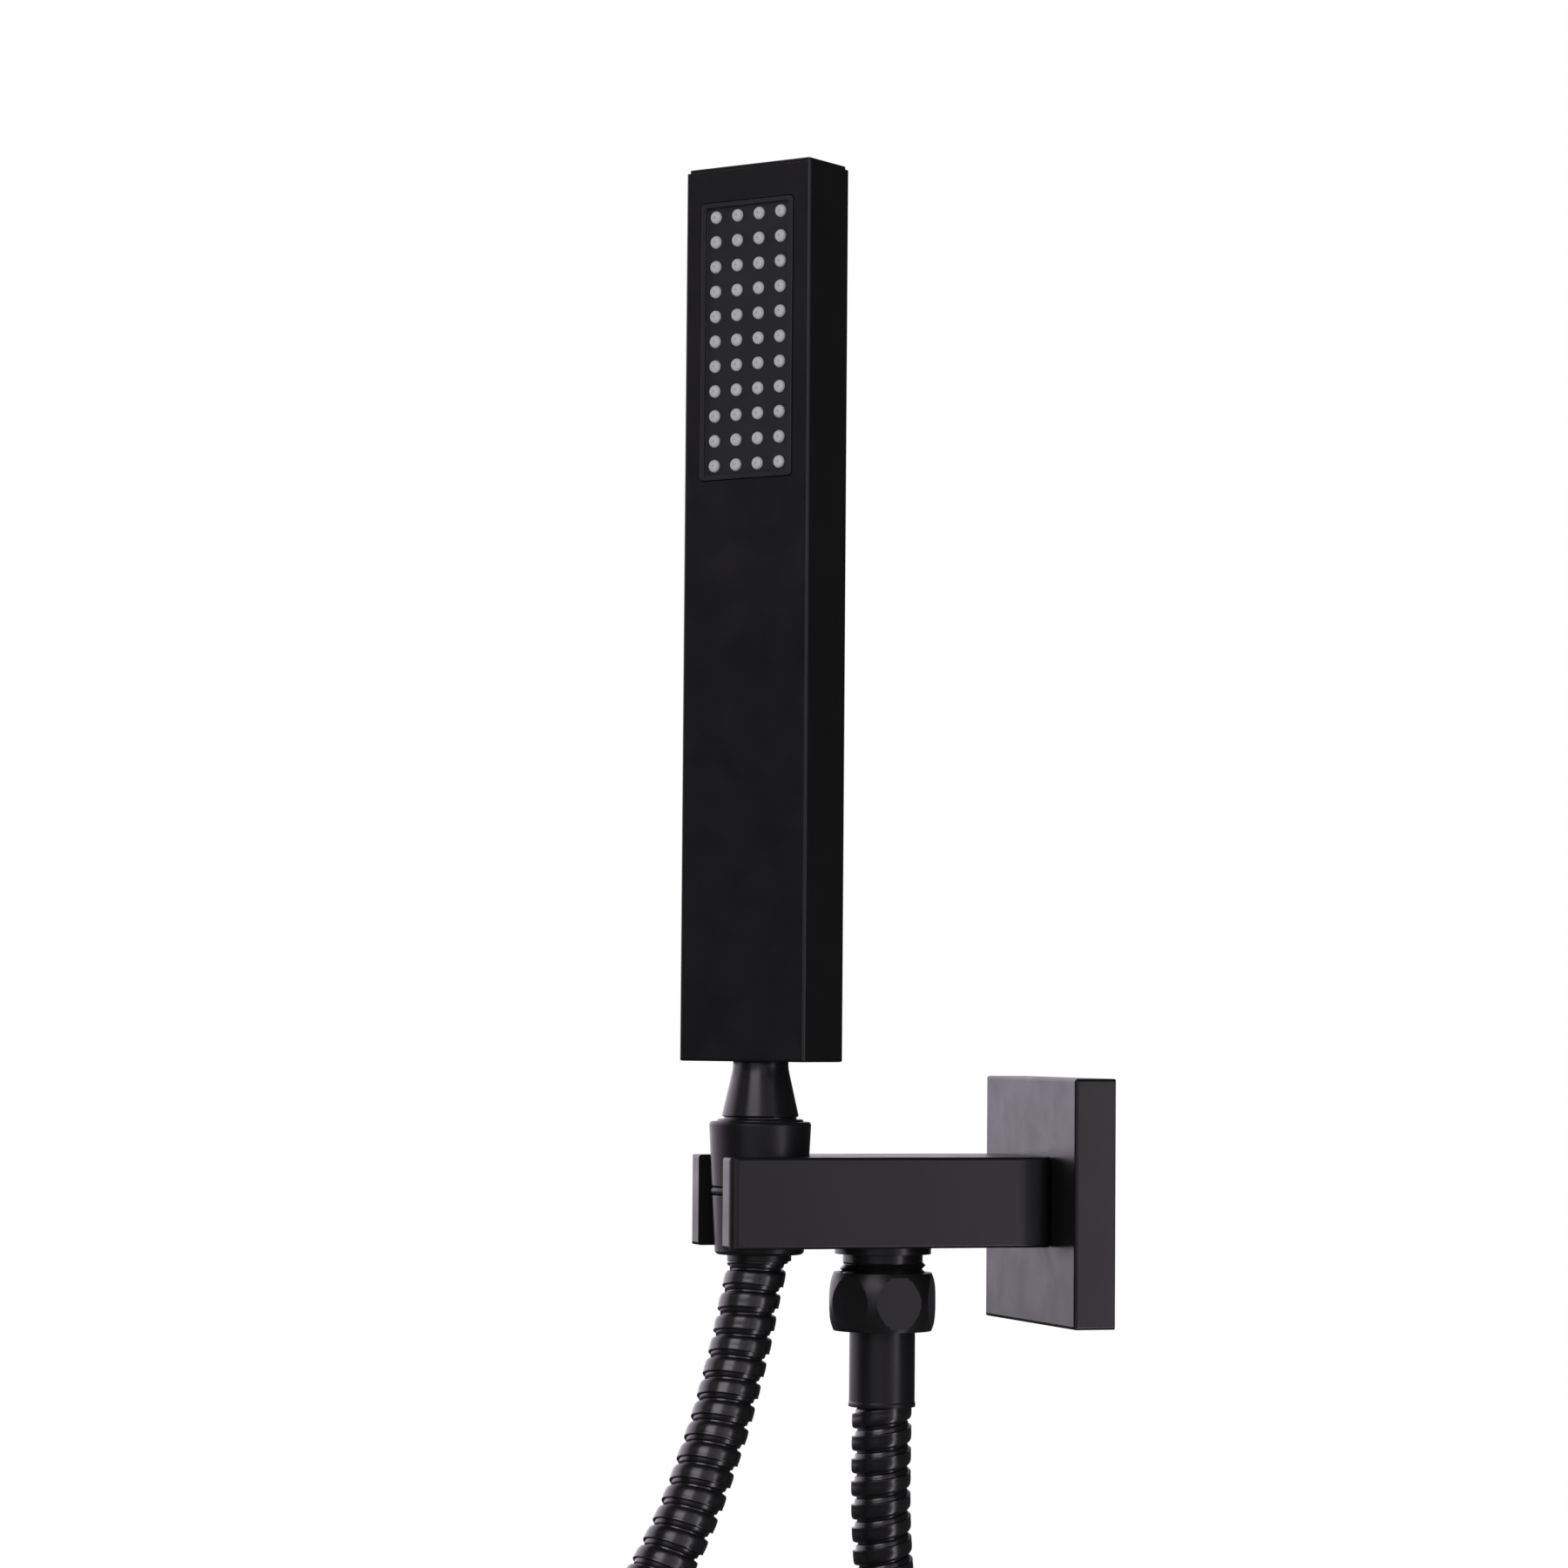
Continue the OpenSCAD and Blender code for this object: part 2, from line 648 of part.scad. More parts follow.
module handset_nut() {
    bevel = 0.6;
    groove_w = ring_d + 0.2;
    color(black) at_fork(0) difference() {
        union() {
            translate([0, 0, nut_bot]) cylinder(r1 = nut_r(nut_bot) - bevel, r2 = nut_r(nut_bot + bevel), h = bevel);
            translate([0, 0, nut_bot + bevel])
                cylinder(r1 = nut_r(nut_bot + bevel), r2 = nut_r(nut_top - bevel), h = nut_h - 2 * bevel);
            translate([0, 0, nut_top - bevel])
                cylinder(r1 = nut_r(nut_top - bevel), r2 = nut_r(nut_top) - bevel / 2, h = bevel);
        }
        translate([0, 0, shoulder_z]) cylinder(d = nut_bore_d, h = nut_h);
        translate([0, 0, nut_bot]) cylinder(d = tail_hole_d, h = nut_h);
        translate([0, 0, nut_bot - cut]) cylinder(d = hose_room_d, h = shoulder_z - web_t - nut_bot + cut);
        translate([0, 0, ring_z - groove_w / 2]) ring(nut_d_top + 2, 2 * ring_r - ring_d, groove_w);
    }
}

module nut_ring() {
    color(rubber) at_fork(ring_z) torus(ring_r, ring_d);
}

module nut_washer() {
    color(rubber) at_fork(washer_z) ring(hose_thread_d - 1, tail_bore_d + 4, washer_t);
}

module strainer() {
    mesh_d = tail_bore_d + 3;
    color(steel) at_fork(strainer_z) difference() {
        cylinder(d = hose_thread_d - 1, h = strainer_t);
        for (r = [0 : 1.2 : mesh_d / 2], a = [0 : 360 / max(1, 6 * round(r / 1.2)) : 359])
            rotate(a) translate([r, 0, -cut]) cylinder(d = 0.7, h = strainer_t + 2 * cut);
    }
}

module flow_restrictor() {
    color(plastic) at_fork(neck_z0) difference() {
        cylinder(d = restrictor_d, h = restrictor_t);
        for (a = [0 : 60 : 300]) rotate(a) translate([2.4, 0, -cut]) cylinder(d = 1.6, h = restrictor_t + 2 * cut);
    }
}

module handset_neck() {
    thread_top = neck_thread_top;
    color(black) at_fork(0) difference() {
        union() {
            translate([0, 0, neck_z0]) cylinder(d = hose_thread_d, h = thread_top - neck_z0);
            translate([0, 0, thread_top]) cylinder(d = cone_d_bot - 1, h = neck_relief);
            translate([0, 0, cone_z]) cylinder(d1 = cone_d_bot, d2 = cone_d_top, h = bar_z - boss_h - cone_z);
            translate([0, 0, bar_z - boss_h]) cylinder(d = cone_d_top, h = boss_h);
            translate([0, 0, bar_z]) cylinder(d = spigot_d, h = spigot_h);
        }
        translate([0, 0, neck_z0 - cut]) cylinder(d = restrictor_d + 2 * fit_gap, h = restrictor_t + cut);
        translate([0, 0, neck_z0]) cylinder(d = riser_hole_d, h = bar_z + spigot_h - neck_z0 + cut);
        translate([0, 0, neck_ring_z]) torus(spigot_d / 2, neck_ring_d);
        translate([0, 0, riser_ring_z0]) torus(riser_hole_d / 2, riser_ring_d);
    }
}

module neck_seal() {
    color(rubber) at_fork(neck_ring_z) squeezed_ring(spigot_d, neck_ring_d, spigot_d + 2 * fit_gap);
}

module riser_tube() {
    color(plastic) at_fork(riser_z0) ring(riser_d, riser_d - 2 * riser_wall, riser_z1 - riser_z0);
}

// Small ring between the riser tube and the hole it plugs into
module riser_seal(z) {
    color(rubber) at_fork(z) difference() {
        torus(riser_hole_d / 2, riser_ring_d - 2 * fit_gap);
        cylinder(d = riser_d, h = 2 * riser_ring_d, center = true);
    }
}

module riser_seal_low() { riser_seal(riser_ring_z0); }

module riser_seal_high() { riser_seal(riser_ring_z1); }

// ---- handset ----

module handset_bar() {
    color(black) at_bar(0) difference() {
        translate([0, 0, bar_top]) rotate([0, -90, 0])
            soft_block(bar_l, bar_w, bar_d, [bar_r, 0.3], [bar_r, 0.3], bar_r);
        translate([-bar_in_d / 2, -bar_in_w / 2, bar_z + foot_h]) cube([bar_in_d, bar_in_w, bar_l]);
        translate([0, 0, bar_z - cut]) cylinder(d = spigot_d + 2 * fit_gap, h = foot_h + 2 * cut);
        on_face(inner_x - cut) linear_extrude(bar_wall + 2 * cut) translate([0, face_z])
            rounded_rect(face_w + 2 * fit_gap, face_l + 2 * fit_gap, face_r, face_r);
    }
}

module top_cap() {
    plug_w = bar_in_w - 2 * fit_gap;
    plug_d = bar_in_d - 2 * fit_gap;
    color(black) at_bar(bar_top) difference() {
        union() {
            translate([0, 0, cap_rise]) rotate([0, -90, 0])
                soft_block(cap_rise, bar_w - 2 * cap_step, bar_d - 2 * cap_step, [0.2, 0.8], [0.2, 0.8], bar_r);
            translate([0, 0, -cap_skirt / 2]) cube([plug_d, plug_w, cap_skirt], center = true);
        }
        translate([0, 0, -cap_skirt]) cube([plug_d - 3, plug_w - 3, 2 * cap_skirt - 2], center = true);
    }
}

// One place for each nozzle, in the drawing plane of the face
module each_nozzle() {
    for (i = [0 : nozzle_cols - 1], j = [0 : nozzle_rows - 1])
        translate([(i - (nozzle_cols - 1) / 2) * pitch_across, face_z + (j - (nozzle_rows - 1) / 2) * pitch_along])
            children();
}

module spray_face() {
    color(black) at_bar(0) difference() {
        union() {
            on_face(mat_x) linear_extrude(lip_t) translate([0, face_z]) rounded_rect(tray_w, tray_l, face_r, face_r);
            on_face(inner_x) linear_extrude(floor_x - inner_x) translate([0, face_z])
                rounded_rect(face_w, face_l, face_r, face_r);
            on_face(floor_x) linear_extrude(face_sink + face_rim_h) translate([0, face_z]) difference() {
                rounded_rect(face_w, face_l, face_r, face_r);
                rounded_rect(face_w - 2 * face_rim_w, face_l - 2 * face_rim_w, 0.6, 0.6);
            }
        }
        on_face(mat_x - cut) linear_extrude(floor_x - mat_x + 2 * cut) each_nozzle()
            circle(nozzle_d / 2 + fit_gap, $fn = 24);
    }
}

module nozzle_mat() {
    crown = 0.5;
    stud_h = floor_x - mat_x + nozzle_rise - crown;
    color(silicone) at_bar(0) difference() {
        union() {
            on_face(mat_x - mat_t) linear_extrude(mat_t) translate([0, face_z]) square([mat_w, mat_l], center = true);
            on_face(mat_x) each_nozzle() {
                cylinder(d = nozzle_d, h = stud_h, $fn = 24);
                translate([0, 0, stud_h]) cylinder(d1 = nozzle_d, d2 = nozzle_d - 2 * crown, h = crown, $fn = 24);
            }
        }
        on_face(mat_x - mat_t - cut) each_nozzle() cylinder(d = jet_d, h = stud_h + mat_t + crown + 2 * cut, $fn = 16);
    }
}

module water_tray() {
    boss_d = riser_hole_d + 2 * 1.4;
    color(plastic) at_bar(0) difference() {
        union() {
            on_face(-tray_back) linear_extrude(mat_x + tray_back) translate([0, face_z])
                square([tray_w, tray_l], center = true);
            translate([0, 0, tray_z - socket_h]) cylinder(d = boss_d, h = socket_h + 1);
        }
        // seat of the mat, the chamber and the socket of the riser
        on_face(mat_x - mat_t) linear_extrude(mat_t + cut) translate([0, face_z])
            square([mat_w + 2 * fit_gap, mat_l + 2 * fit_gap], center = true);
        on_face(tray_wall - tray_back) linear_extrude(mat_x + tray_back) translate([0, face_z])
            square([cavity_w, cavity_l], center = true);
        translate([0, 0, tray_z - socket_h - cut]) cylinder(d = riser_hole_d, h = socket_h + tray_wall + 2 * cut);
        translate([0, 0, riser_ring_z1]) torus(riser_hole_d / 2, riser_ring_d);
    }
}

wall_flange();
flange_seal();
inlet_nipple();
inlet_washer();
bracket_arm();
outlet_nipple();
outlet_seal();
valve_body();
valve_seal();
valve_poppet();
valve_spring();
outlet_washer();
union_nut();
outlet_tail();
outlet_ferrule();
outlet_hose();
hose_coil();
coil_tie();
handset_hose();
handset_tail();
handset_ferrule();
handset_nut();
nut_ring();
nut_washer();
strainer();
flow_restrictor();
handset_neck();
neck_seal();
riser_tube();
riser_seal_low();
riser_seal_high();
handset_bar();
top_cap();
spray_face();
nozzle_mat();
water_tray();
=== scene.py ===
import math

import bmesh
import bpy
import numpy as np
from bpy.props import FloatProperty, FloatVectorProperty, IntProperty, PointerProperty
from mathutils import Matrix, Vector


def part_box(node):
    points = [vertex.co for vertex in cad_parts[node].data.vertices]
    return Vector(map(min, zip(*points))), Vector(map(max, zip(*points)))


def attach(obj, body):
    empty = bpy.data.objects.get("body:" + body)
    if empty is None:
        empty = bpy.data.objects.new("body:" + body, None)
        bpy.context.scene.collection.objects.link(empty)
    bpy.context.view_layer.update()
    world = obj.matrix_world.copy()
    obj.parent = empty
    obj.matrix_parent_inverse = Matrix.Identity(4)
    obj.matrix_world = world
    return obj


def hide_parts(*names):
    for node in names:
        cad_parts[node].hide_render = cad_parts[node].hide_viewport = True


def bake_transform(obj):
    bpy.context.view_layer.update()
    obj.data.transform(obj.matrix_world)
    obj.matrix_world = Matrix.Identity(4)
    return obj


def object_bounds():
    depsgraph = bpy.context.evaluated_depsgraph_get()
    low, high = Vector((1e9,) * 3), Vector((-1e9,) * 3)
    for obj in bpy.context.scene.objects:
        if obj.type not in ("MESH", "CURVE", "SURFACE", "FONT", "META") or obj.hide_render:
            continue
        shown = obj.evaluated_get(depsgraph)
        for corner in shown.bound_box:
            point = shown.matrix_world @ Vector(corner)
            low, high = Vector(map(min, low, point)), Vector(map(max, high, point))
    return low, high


bl_info = {
    "name": "Stick Hand Shower",
    "version": (1, 0, 0),
    "blender": (4, 5, 0),
    "location": "3D View > Sidebar > Hand Shower",
    "description": "Dresses the stick hand shower, its wall bracket and its metal hose",
    "category": "Object",
}

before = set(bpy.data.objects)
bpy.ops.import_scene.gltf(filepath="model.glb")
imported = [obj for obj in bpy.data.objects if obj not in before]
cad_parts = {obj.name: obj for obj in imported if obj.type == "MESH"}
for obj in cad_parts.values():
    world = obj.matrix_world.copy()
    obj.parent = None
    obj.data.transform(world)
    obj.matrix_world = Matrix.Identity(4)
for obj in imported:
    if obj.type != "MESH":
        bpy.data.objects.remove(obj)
CAD_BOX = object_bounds()

# ---------------------------------------------------------------- places, from the frame

MM = 0.001
MERGE = 2e-6                      # points closer than this are one point


def middle_of(node):
    """Middle of a node's box."""
    low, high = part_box(node)
    return (low + high) / 2


NUT_LOW, NUT_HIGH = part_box("handset_nut")
NUT_SEAL_LOW, NUT_SEAL_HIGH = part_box("nut_ring")
NECK_LOW, NECK_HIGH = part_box("handset_neck")
CRIMP_LOW, CRIMP_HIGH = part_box("handset_ferrule")
BAR_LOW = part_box("handset_bar")[0]
ARM_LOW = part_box("bracket_arm")[0]
NIPPLE_LOW, NIPPLE_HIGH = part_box("outlet_nipple")
SPRING_LOW, SPRING_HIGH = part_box("valve_spring")
UNION_LOW, UNION_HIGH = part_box("union_nut")
FERRULE_LOW, FERRULE_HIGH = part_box("outlet_ferrule")
FORK = tuple(middle_of("handset_nut").xy)
OUTLET = tuple(middle_of("outlet_ferrule").xy)
SWIVEL = math.radians(37)         # the spray face's turn from the arm's direction
ON_BAR = Matrix.Translation((*FORK, 0)) @ Matrix.Rotation(SWIVEL, 4, "Z")

# ---------------------------------------------------------------- hose route, millimetres

HANDSET_LEG = [
    (-80, 0, -12.4), (-80.8, 0, -17), (-82.3, -0.3, -23), (-84.5, -0.9, -33), (-87.4, -1.9, -43),
    (-90.5, -3.2, -52.5), (-94.1, -4.6, -61.5), (-98.1, -6.1, -71), (-102.7, -7.3, -80),
    (-107.8, -8.1, -88.5), (-113.7, -8.3, -96.5), (-120.8, -7.8, -104), (-128.5, -6.6, -111),
    (-137, -4.7, -118.3),
]
OUTLET_LEG = [
    (-48.5, 0, -49.2), (-48.5, 0, -54), (-48.4, 0.5, -63), (-48.2, 1.1, -72.5), (-47.6, 1.8, -82),
    (-46.5, 2.4, -92.5), (-44.5, 2.7, -103), (-41.4, 2.6, -113), (-37.3, 1.9, -122.8),
    (-32.5, 0.8, -132.3),
]
COIL_X, COIL_Z = -92.6, -181.5
COIL_R = 75
COIL_TURN = math.radians(14)
COIL_FROM, COIL_TO = 132, 1112    # degrees round the coil
COIL_STEP = 12                    # degrees from one point of the coil to the next
LANE_STEP = 15.2
LANE_CHANGE = (45, 115)           # degrees of each turn in which the hose moves over a lane
ROUTE_STEP = 1 * MM


def coil_point(angle):
    """Point of the coil's middle line, in millimetres."""
    across = -LANE_STEP
    for turn in (1, 2):
        share = (angle - 360 * turn - LANE_CHANGE[0]) / (LANE_CHANGE[1] - LANE_CHANGE[0])
        across += LANE_STEP * (1 - math.cos(math.pi * min(max(share, 0), 1))) / 2
    a = math.radians(angle)
    out, up = COIL_R * math.cos(a), COIL_R * math.sin(a)
    c, s = math.cos(COIL_TURN), math.sin(COIL_TURN)
    return (COIL_X + out * c + across * s, -out * s + across * c, COIL_Z + up)


def smooth_span(p0, p1, p2, p3, steps=16):
    """Points from p1 up to p2 on a smooth curve through four knots."""
    t0 = 0.0
    t1 = t0 + np.linalg.norm(p1 - p0) ** 0.5
    t2 = t1 + np.linalg.norm(p2 - p1) ** 0.5
    t3 = t2 + np.linalg.norm(p3 - p2) ** 0.5
    points = []
    for t in np.linspace(t1, t2, steps, endpoint=False):
        a1 = ((t1 - t) * p0 + (t - t0) * p1) / (t1 - t0)
        a2 = ((t2 - t) * p1 + (t - t1) * p2) / (t2 - t1)
        a3 = ((t3 - t) * p2 + (t - t2) * p3) / (t3 - t2)
        b1 = ((t2 - t) * a1 + (t - t0) * a2) / (t2 - t0)
        b2 = ((t3 - t) * a2 + (t - t1) * a3) / (t3 - t1)
        points.append(((t2 - t) * b1 + (t - t1) * b2) / (t2 - t1))
    return points


def read_along(places, values, spots):
    """Points or directions kept at places along the route, read at other spots along it."""
    return np.stack([np.interp(spots, places, values[:, k]) for k in range(3)], axis=1)


def hose_route():
    """The hose's middle line from the handset to the outlet: its places, the point in metres at
    each of them, and how far along the handset's leg ends."""
    turns = round((COIL_TO - COIL_FROM) / COIL_STEP)
    coil = [coil_point(COIL_FROM + (COIL_TO - COIL_FROM) * i / turns) for i in range(turns + 1)]
    knots = [np.array(p, float) * MM for p in HANDSET_LEG + coil + OUTLET_LEG[::-1]]
    knots = [2 * knots[0] - knots[1], *knots, 2 * knots[-1] - knots[-2]]
    fine, leg_end = [], 0
    for i in range(1, len(knots) - 2):
        if i == len(HANDSET_LEG):
            leg_end = len(fine)
        fine.extend(smooth_span(*knots[i - 1:i + 3]))
    fine.append(knots[-2])
    fine = np.array(fine)
    along = np.concatenate([[0], np.cumsum(np.linalg.norm(np.diff(fine, axis=0), axis=1))])
    places = np.linspace(0, along[-1], round(along[-1] / ROUTE_STEP) + 1)
    return places, read_along(along, fine, places), float(along[leg_end])


# ---------------------------------------------------------------- settings


class HoseSettings(bpy.types.PropertyGroup):
    """Sizes of the metal hose"""

    outside: FloatProperty(
        name="Outside Diameter", description="Diameter over the hose's rounded bands",
        default=0.0145, min=0.013, max=0.0146, unit="LENGTH", subtype="DISTANCE")
    groove: FloatProperty(
        name="Groove Diameter", description="Diameter at the bottom of the groove between bands",
        default=0.0118, min=0.010, max=0.014, unit="LENGTH", subtype="DISTANCE")
    pitch: FloatProperty(
        name="Pitch", description="Distance from one band to the next",
        default=0.00545, min=0.003, max=0.008, unit="LENGTH", subtype="DISTANCE")
    columns: IntProperty(
        name="Columns", description="Faces round the hose", default=26, min=12, max=48)
    colour: FloatVectorProperty(
        name="Hose Colour", description="Colour of the hose's coated metal strip",
        default=(0.0050, 0.0048, 0.0052), min=0, max=1, size=3, subtype="COLOR")


class CoatSettings(bpy.types.PropertyGroup):
    """Colours of the finishes"""

    coat: FloatVectorProperty(
        name="Coat", description="Colour of the satin black coat",
        default=(0.0050, 0.0048, 0.0052), min=0, max=1, size=3, subtype="COLOR")
    insert: FloatVectorProperty(
        name="Spray Plate", description="Colour of the moulded spray plate",
        default=(0.0135, 0.0133, 0.0150), min=0, max=1, size=3, subtype="COLOR")
    silicone: FloatVectorProperty(
        name="Nozzles", description="Colour of the silicone nozzles",
        default=(0.40, 0.395, 0.40), min=0, max=1, size=3, subtype="COLOR")


class NozzleSettings(bpy.types.PropertyGroup):
    """Sizes of the nozzles"""

    diameter: FloatProperty(
        name="Diameter", description="Diameter of one nozzle",
        default=0.0031, min=0.002, max=0.0034, unit="LENGTH", subtype="DISTANCE")
    dimple: FloatProperty(
        name="Jet Hole", description="Diameter of the hole in a nozzle's tip",
        default=0.00026, min=0.0001, max=0.0013, unit="LENGTH", subtype="DISTANCE")


class StageSettings(bpy.types.PropertyGroup):
    """Light on the object"""

    key: FloatProperty(
        name="Key Light", description="Brightness of the soft light at the upper front left",
        default=2.9, min=0)
    side_panel: FloatProperty(
        name="Side Panel", description="Brightness of the soft panel at the front right",
        default=0.66, min=0)
    strip: FloatProperty(
        name="Strips", description="Brightness of the narrow panel beside the side panel, and of "
        "the one on the floor", default=3.8, min=0)
    left_panel: FloatProperty(
        name="Left Panel", description="Brightness of the soft panel at the front left",
        default=0.42, min=0)
    left_glow: FloatProperty(
        name="Left Glow", description="Brightness of the faint light high on the left",
        default=0.25, min=0)
    front_fill: FloatProperty(
        name="Front Fill", description="Brightness of the faint panel straight in front",
        default=0.50, min=0)
    backdrop: FloatProperty(
        name="Backdrop", description="Brightness of the white backdrop as gloss reflects it",
        default=1.75, min=0)


# ---------------------------------------------------------------- modelling helpers


def deselect_all():
    """Object mode with nothing selected."""
    if bpy.context.mode != "OBJECT":
        bpy.ops.object.mode_set(mode="OBJECT")
    bpy.ops.object.select_all(action="DESELECT")


def pick(piece, *others):
    """Select a piece, and others with it, and make it the active one."""
    deselect_all()
    for each in (piece, *others):
        each.select_set(True)
    bpy.context.view_layer.objects.active = piece


def settle(name):
    """Name the new primitive and put its place into its mesh."""
    piece = bpy.context.active_object
    piece.name = piece.data.name = name
    bpy.ops.object.transform_apply(location=True, rotation=True, scale=True)
    return piece


def place(piece, matrix):
    """Move a piece by a matrix and put its new place into its mesh."""
    pick(piece)
    piece.matrix_world = matrix
    bpy.ops.object.transform_apply(location=True, rotation=True, scale=True)


def select_where(piece, test, kind="FACE"):
    """In edit mode, select only the faces, edges or points that pass a test."""
    bpy.ops.mesh.select_mode(type=kind)
    bpy.ops.mesh.select_all(action="DESELECT")
    mesh = bmesh.from_edit_mesh(piece.data)
    for part in {"FACE": mesh.faces, "EDGE": mesh.edges, "VERT": mesh.verts}[kind]:
        part.select = test(part)
    mesh.select_flush_mode()
    bmesh.update_edit_mesh(piece.data)


def turned(name, centre, outline, sides=96):
    """Raise a closed outline of (radius, height) pairs, in millimetres, ring by ring round an
    upright axis."""
    deselect_all()
    radius, height = outline[0]
    bpy.ops.mesh.primitive_circle_add(
        vertices=sides, radius=radius * MM, location=(*centre, height * MM))
    piece = settle(name)
    bpy.ops.object.mode_set(mode="EDIT")
    bpy.ops.mesh.select_mode(type="VERT")
    bpy.ops.mesh.select_all(action="SELECT")
    for wider, higher in outline[1:] + outline[:1]:
        bpy.ops.mesh.extrude_region_move(
            TRANSFORM_OT_translate={"value": (0, 0, (higher - height) * MM)})
        share = wider / radius
        bpy.ops.transform.resize(value=(share, share, 1), center_override=(*centre, 0))
        radius, height = wider, higher
    bpy.ops.mesh.select_all(action="SELECT")
    bpy.ops.mesh.remove_doubles(threshold=MERGE)
    bpy.ops.mesh.normals_make_consistent(inside=False)
    bpy.ops.object.mode_set(mode="OBJECT")
    return piece


def wound(name, centre, section, at, sides, rise, turns, steps):
    """Wind a small round section, its radius and place in metres, up round an upright axis, and
    close its two ends."""
    deselect_all()
    bpy.ops.mesh.primitive_circle_add(
        vertices=sides, radius=section, rotation=(math.pi / 2, 0, 0), location=at)
    piece = settle(name)
    bpy.context.scene.cursor.location = (*centre, 0)
    bpy.ops.object.origin_set(type="ORIGIN_CURSOR")
    bpy.ops.object.modifier_add(type="SCREW")
    screw = piece.modifiers[-1]
    screw.axis, screw.screw_offset, screw.iterations = "Z", rise, turns
    screw.steps = screw.render_steps = steps
    bpy.ops.object.modifier_apply(modifier=screw.name)
    bpy.ops.object.transform_apply(location=True, rotation=True, scale=True)
    bpy.ops.object.mode_set(mode="EDIT")
    bpy.ops.mesh.select_mode(type="VERT")
    bpy.ops.mesh.select_all(action="SELECT")
    bpy.ops.mesh.fill_holes(sides=12)
    bpy.ops.mesh.normals_make_consistent(inside=False)
    bpy.ops.object.mode_set(mode="OBJECT")
    bpy.ops.object.shade_smooth_by_angle(angle=math.radians(40))
    return piece


def soften(piece, width, smooth=34):
    """Round the sharp edges by a width in metres, or leave them where it is 0, and shade the piece
    smooth across edges of up to some degrees."""
    pick(piece)
    if width:
        bpy.ops.object.modifier_add(type="BEVEL")
        bevel = piece.modifiers[-1]
        bevel.width, bevel.segments = width, 3
        bevel.limit_method, bevel.angle_limit = "ANGLE", math.radians(28)
        bpy.ops.object.modifier_apply(modifier=bevel.name)
    bpy.ops.object.shade_smooth_by_angle(angle=math.radians(smooth))
    bpy.ops.object.modifier_add(type="WEIGHTED_NORMAL")
    weigh = piece.modifiers[-1]
    weigh.keep_sharp = True
    bpy.ops.object.modifier_apply(modifier=weigh.name)


def finished(piece, finish, slot, body, *nodes):
    """Give a piece its finish, the body that it rides on, if it rides on only one, and the nodes it
    stands for. The slot is not used."""
    piece.data.materials.clear()
    piece.data.materials.append(bpy.data.materials[finish])
    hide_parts(*nodes)
    if body:
        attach(piece, body)


def arc(centre, radius, start, end, steps):
    """Points of an arc in the outline's plane, angles in degrees."""
    turns = [math.radians(start + (end - start) * i / steps) for i in range(steps + 1)]
    return [(centre[0] + radius * math.cos(a), centre[1] + radius * math.sin(a)) for a in turns]


# ---------------------------------------------------------------- shader helpers and groups


def set_inputs(made, **values):
    """Set a node's inputs by name, each space written as _."""
    for key, value in values.items():
        made.inputs[key.replace("_", " ")].default_value = value


def add_node(tree, kind, **values):
    """Add a node and set its properties, or its inputs by name."""
    made = tree.nodes.new(kind)
    for key, value in values.items():
        if hasattr(made, key):
            setattr(made, key, value)
        else:
            set_inputs(made, **{key: value})
    return made


def link(tree, *pairs):
    """Join outputs to inputs, given in pairs."""
    for source, target in pairs:
        tree.links.new(source, target)


def new_group(name, outputs, **inputs):
    """An empty node group that takes a vector and named numbers and gives out numbers."""
    tree = bpy.data.node_groups.new(name, "ShaderNodeTree")
    tree.interface.new_socket("Vector", in_out="INPUT", socket_type="NodeSocketVector")
    for label, default in inputs.items():
        socket = tree.interface.new_socket(label, in_out="INPUT", socket_type="NodeSocketFloat")
        socket.default_value = default
    for label in outputs:
        tree.interface.new_socket(label, in_out="OUTPUT", socket_type="NodeSocketFloat")
    given, out = tree.nodes.new("NodeGroupInput"), tree.nodes.new("NodeGroupOutput")
    return tree, given.outputs, out.inputs


def coat_grain():
    """Fine grain of a coat over a coarser one."""
    tree, given, out = new_group("Coat Grain", ("Height", "Speckle"), Scale=2400.0)
    grain = add_node(tree, "ShaderNodeTexNoise", Detail=3.0, Roughness=0.6)
    coarse = add_node(tree, "ShaderNodeTexNoise", Detail=1.0, Roughness=0.5)
    coarser = add_node(tree, "ShaderNodeMath", operation="MULTIPLY")
    coarser.inputs[1].default_value = 0.3
    both = add_node(tree, "ShaderNodeMath", operation="ADD")
    link(
        tree,
        (given["Vector"], grain.inputs["Vector"]),
        (given["Scale"], grain.inputs["Scale"]),
        (given["Vector"], coarse.inputs["Vector"]),
        (given["Scale"], coarser.inputs[0]),
        (coarser.outputs[0], coarse.inputs["Scale"]),
        (grain.outputs["Fac"], both.inputs[0]),
        (coarse.outputs["Fac"], both.inputs[1]),
        (both.outputs[0], out["Height"]),
        (coarse.outputs["Fac"], out["Speckle"]),
    )


def lathe_marks():
    """Fine level rings left by a lathe."""
    tree, given, out = new_group("Lathe Marks", ("Height", "Streak"), Lines=9000.0)
    parts = add_node(tree, "ShaderNodeSeparateXYZ")
    line = add_node(tree, "ShaderNodeMath", operation="MULTIPLY")
    marks = add_node(
        tree, "ShaderNodeTexNoise", noise_dimensions="1D", Detail=2.0, Roughness=0.7, Scale=1.0)
    link(
        tree,
        (given["Vector"], parts.inputs[0]),
        (parts.outputs["Z"], line.inputs[0]),
        (given["Lines"], line.inputs[1]),
        (line.outputs[0], marks.inputs["W"]),
        (marks.outputs["Fac"], out["Height"]),
        (marks.outputs["Fac"], out["Streak"]),
    )


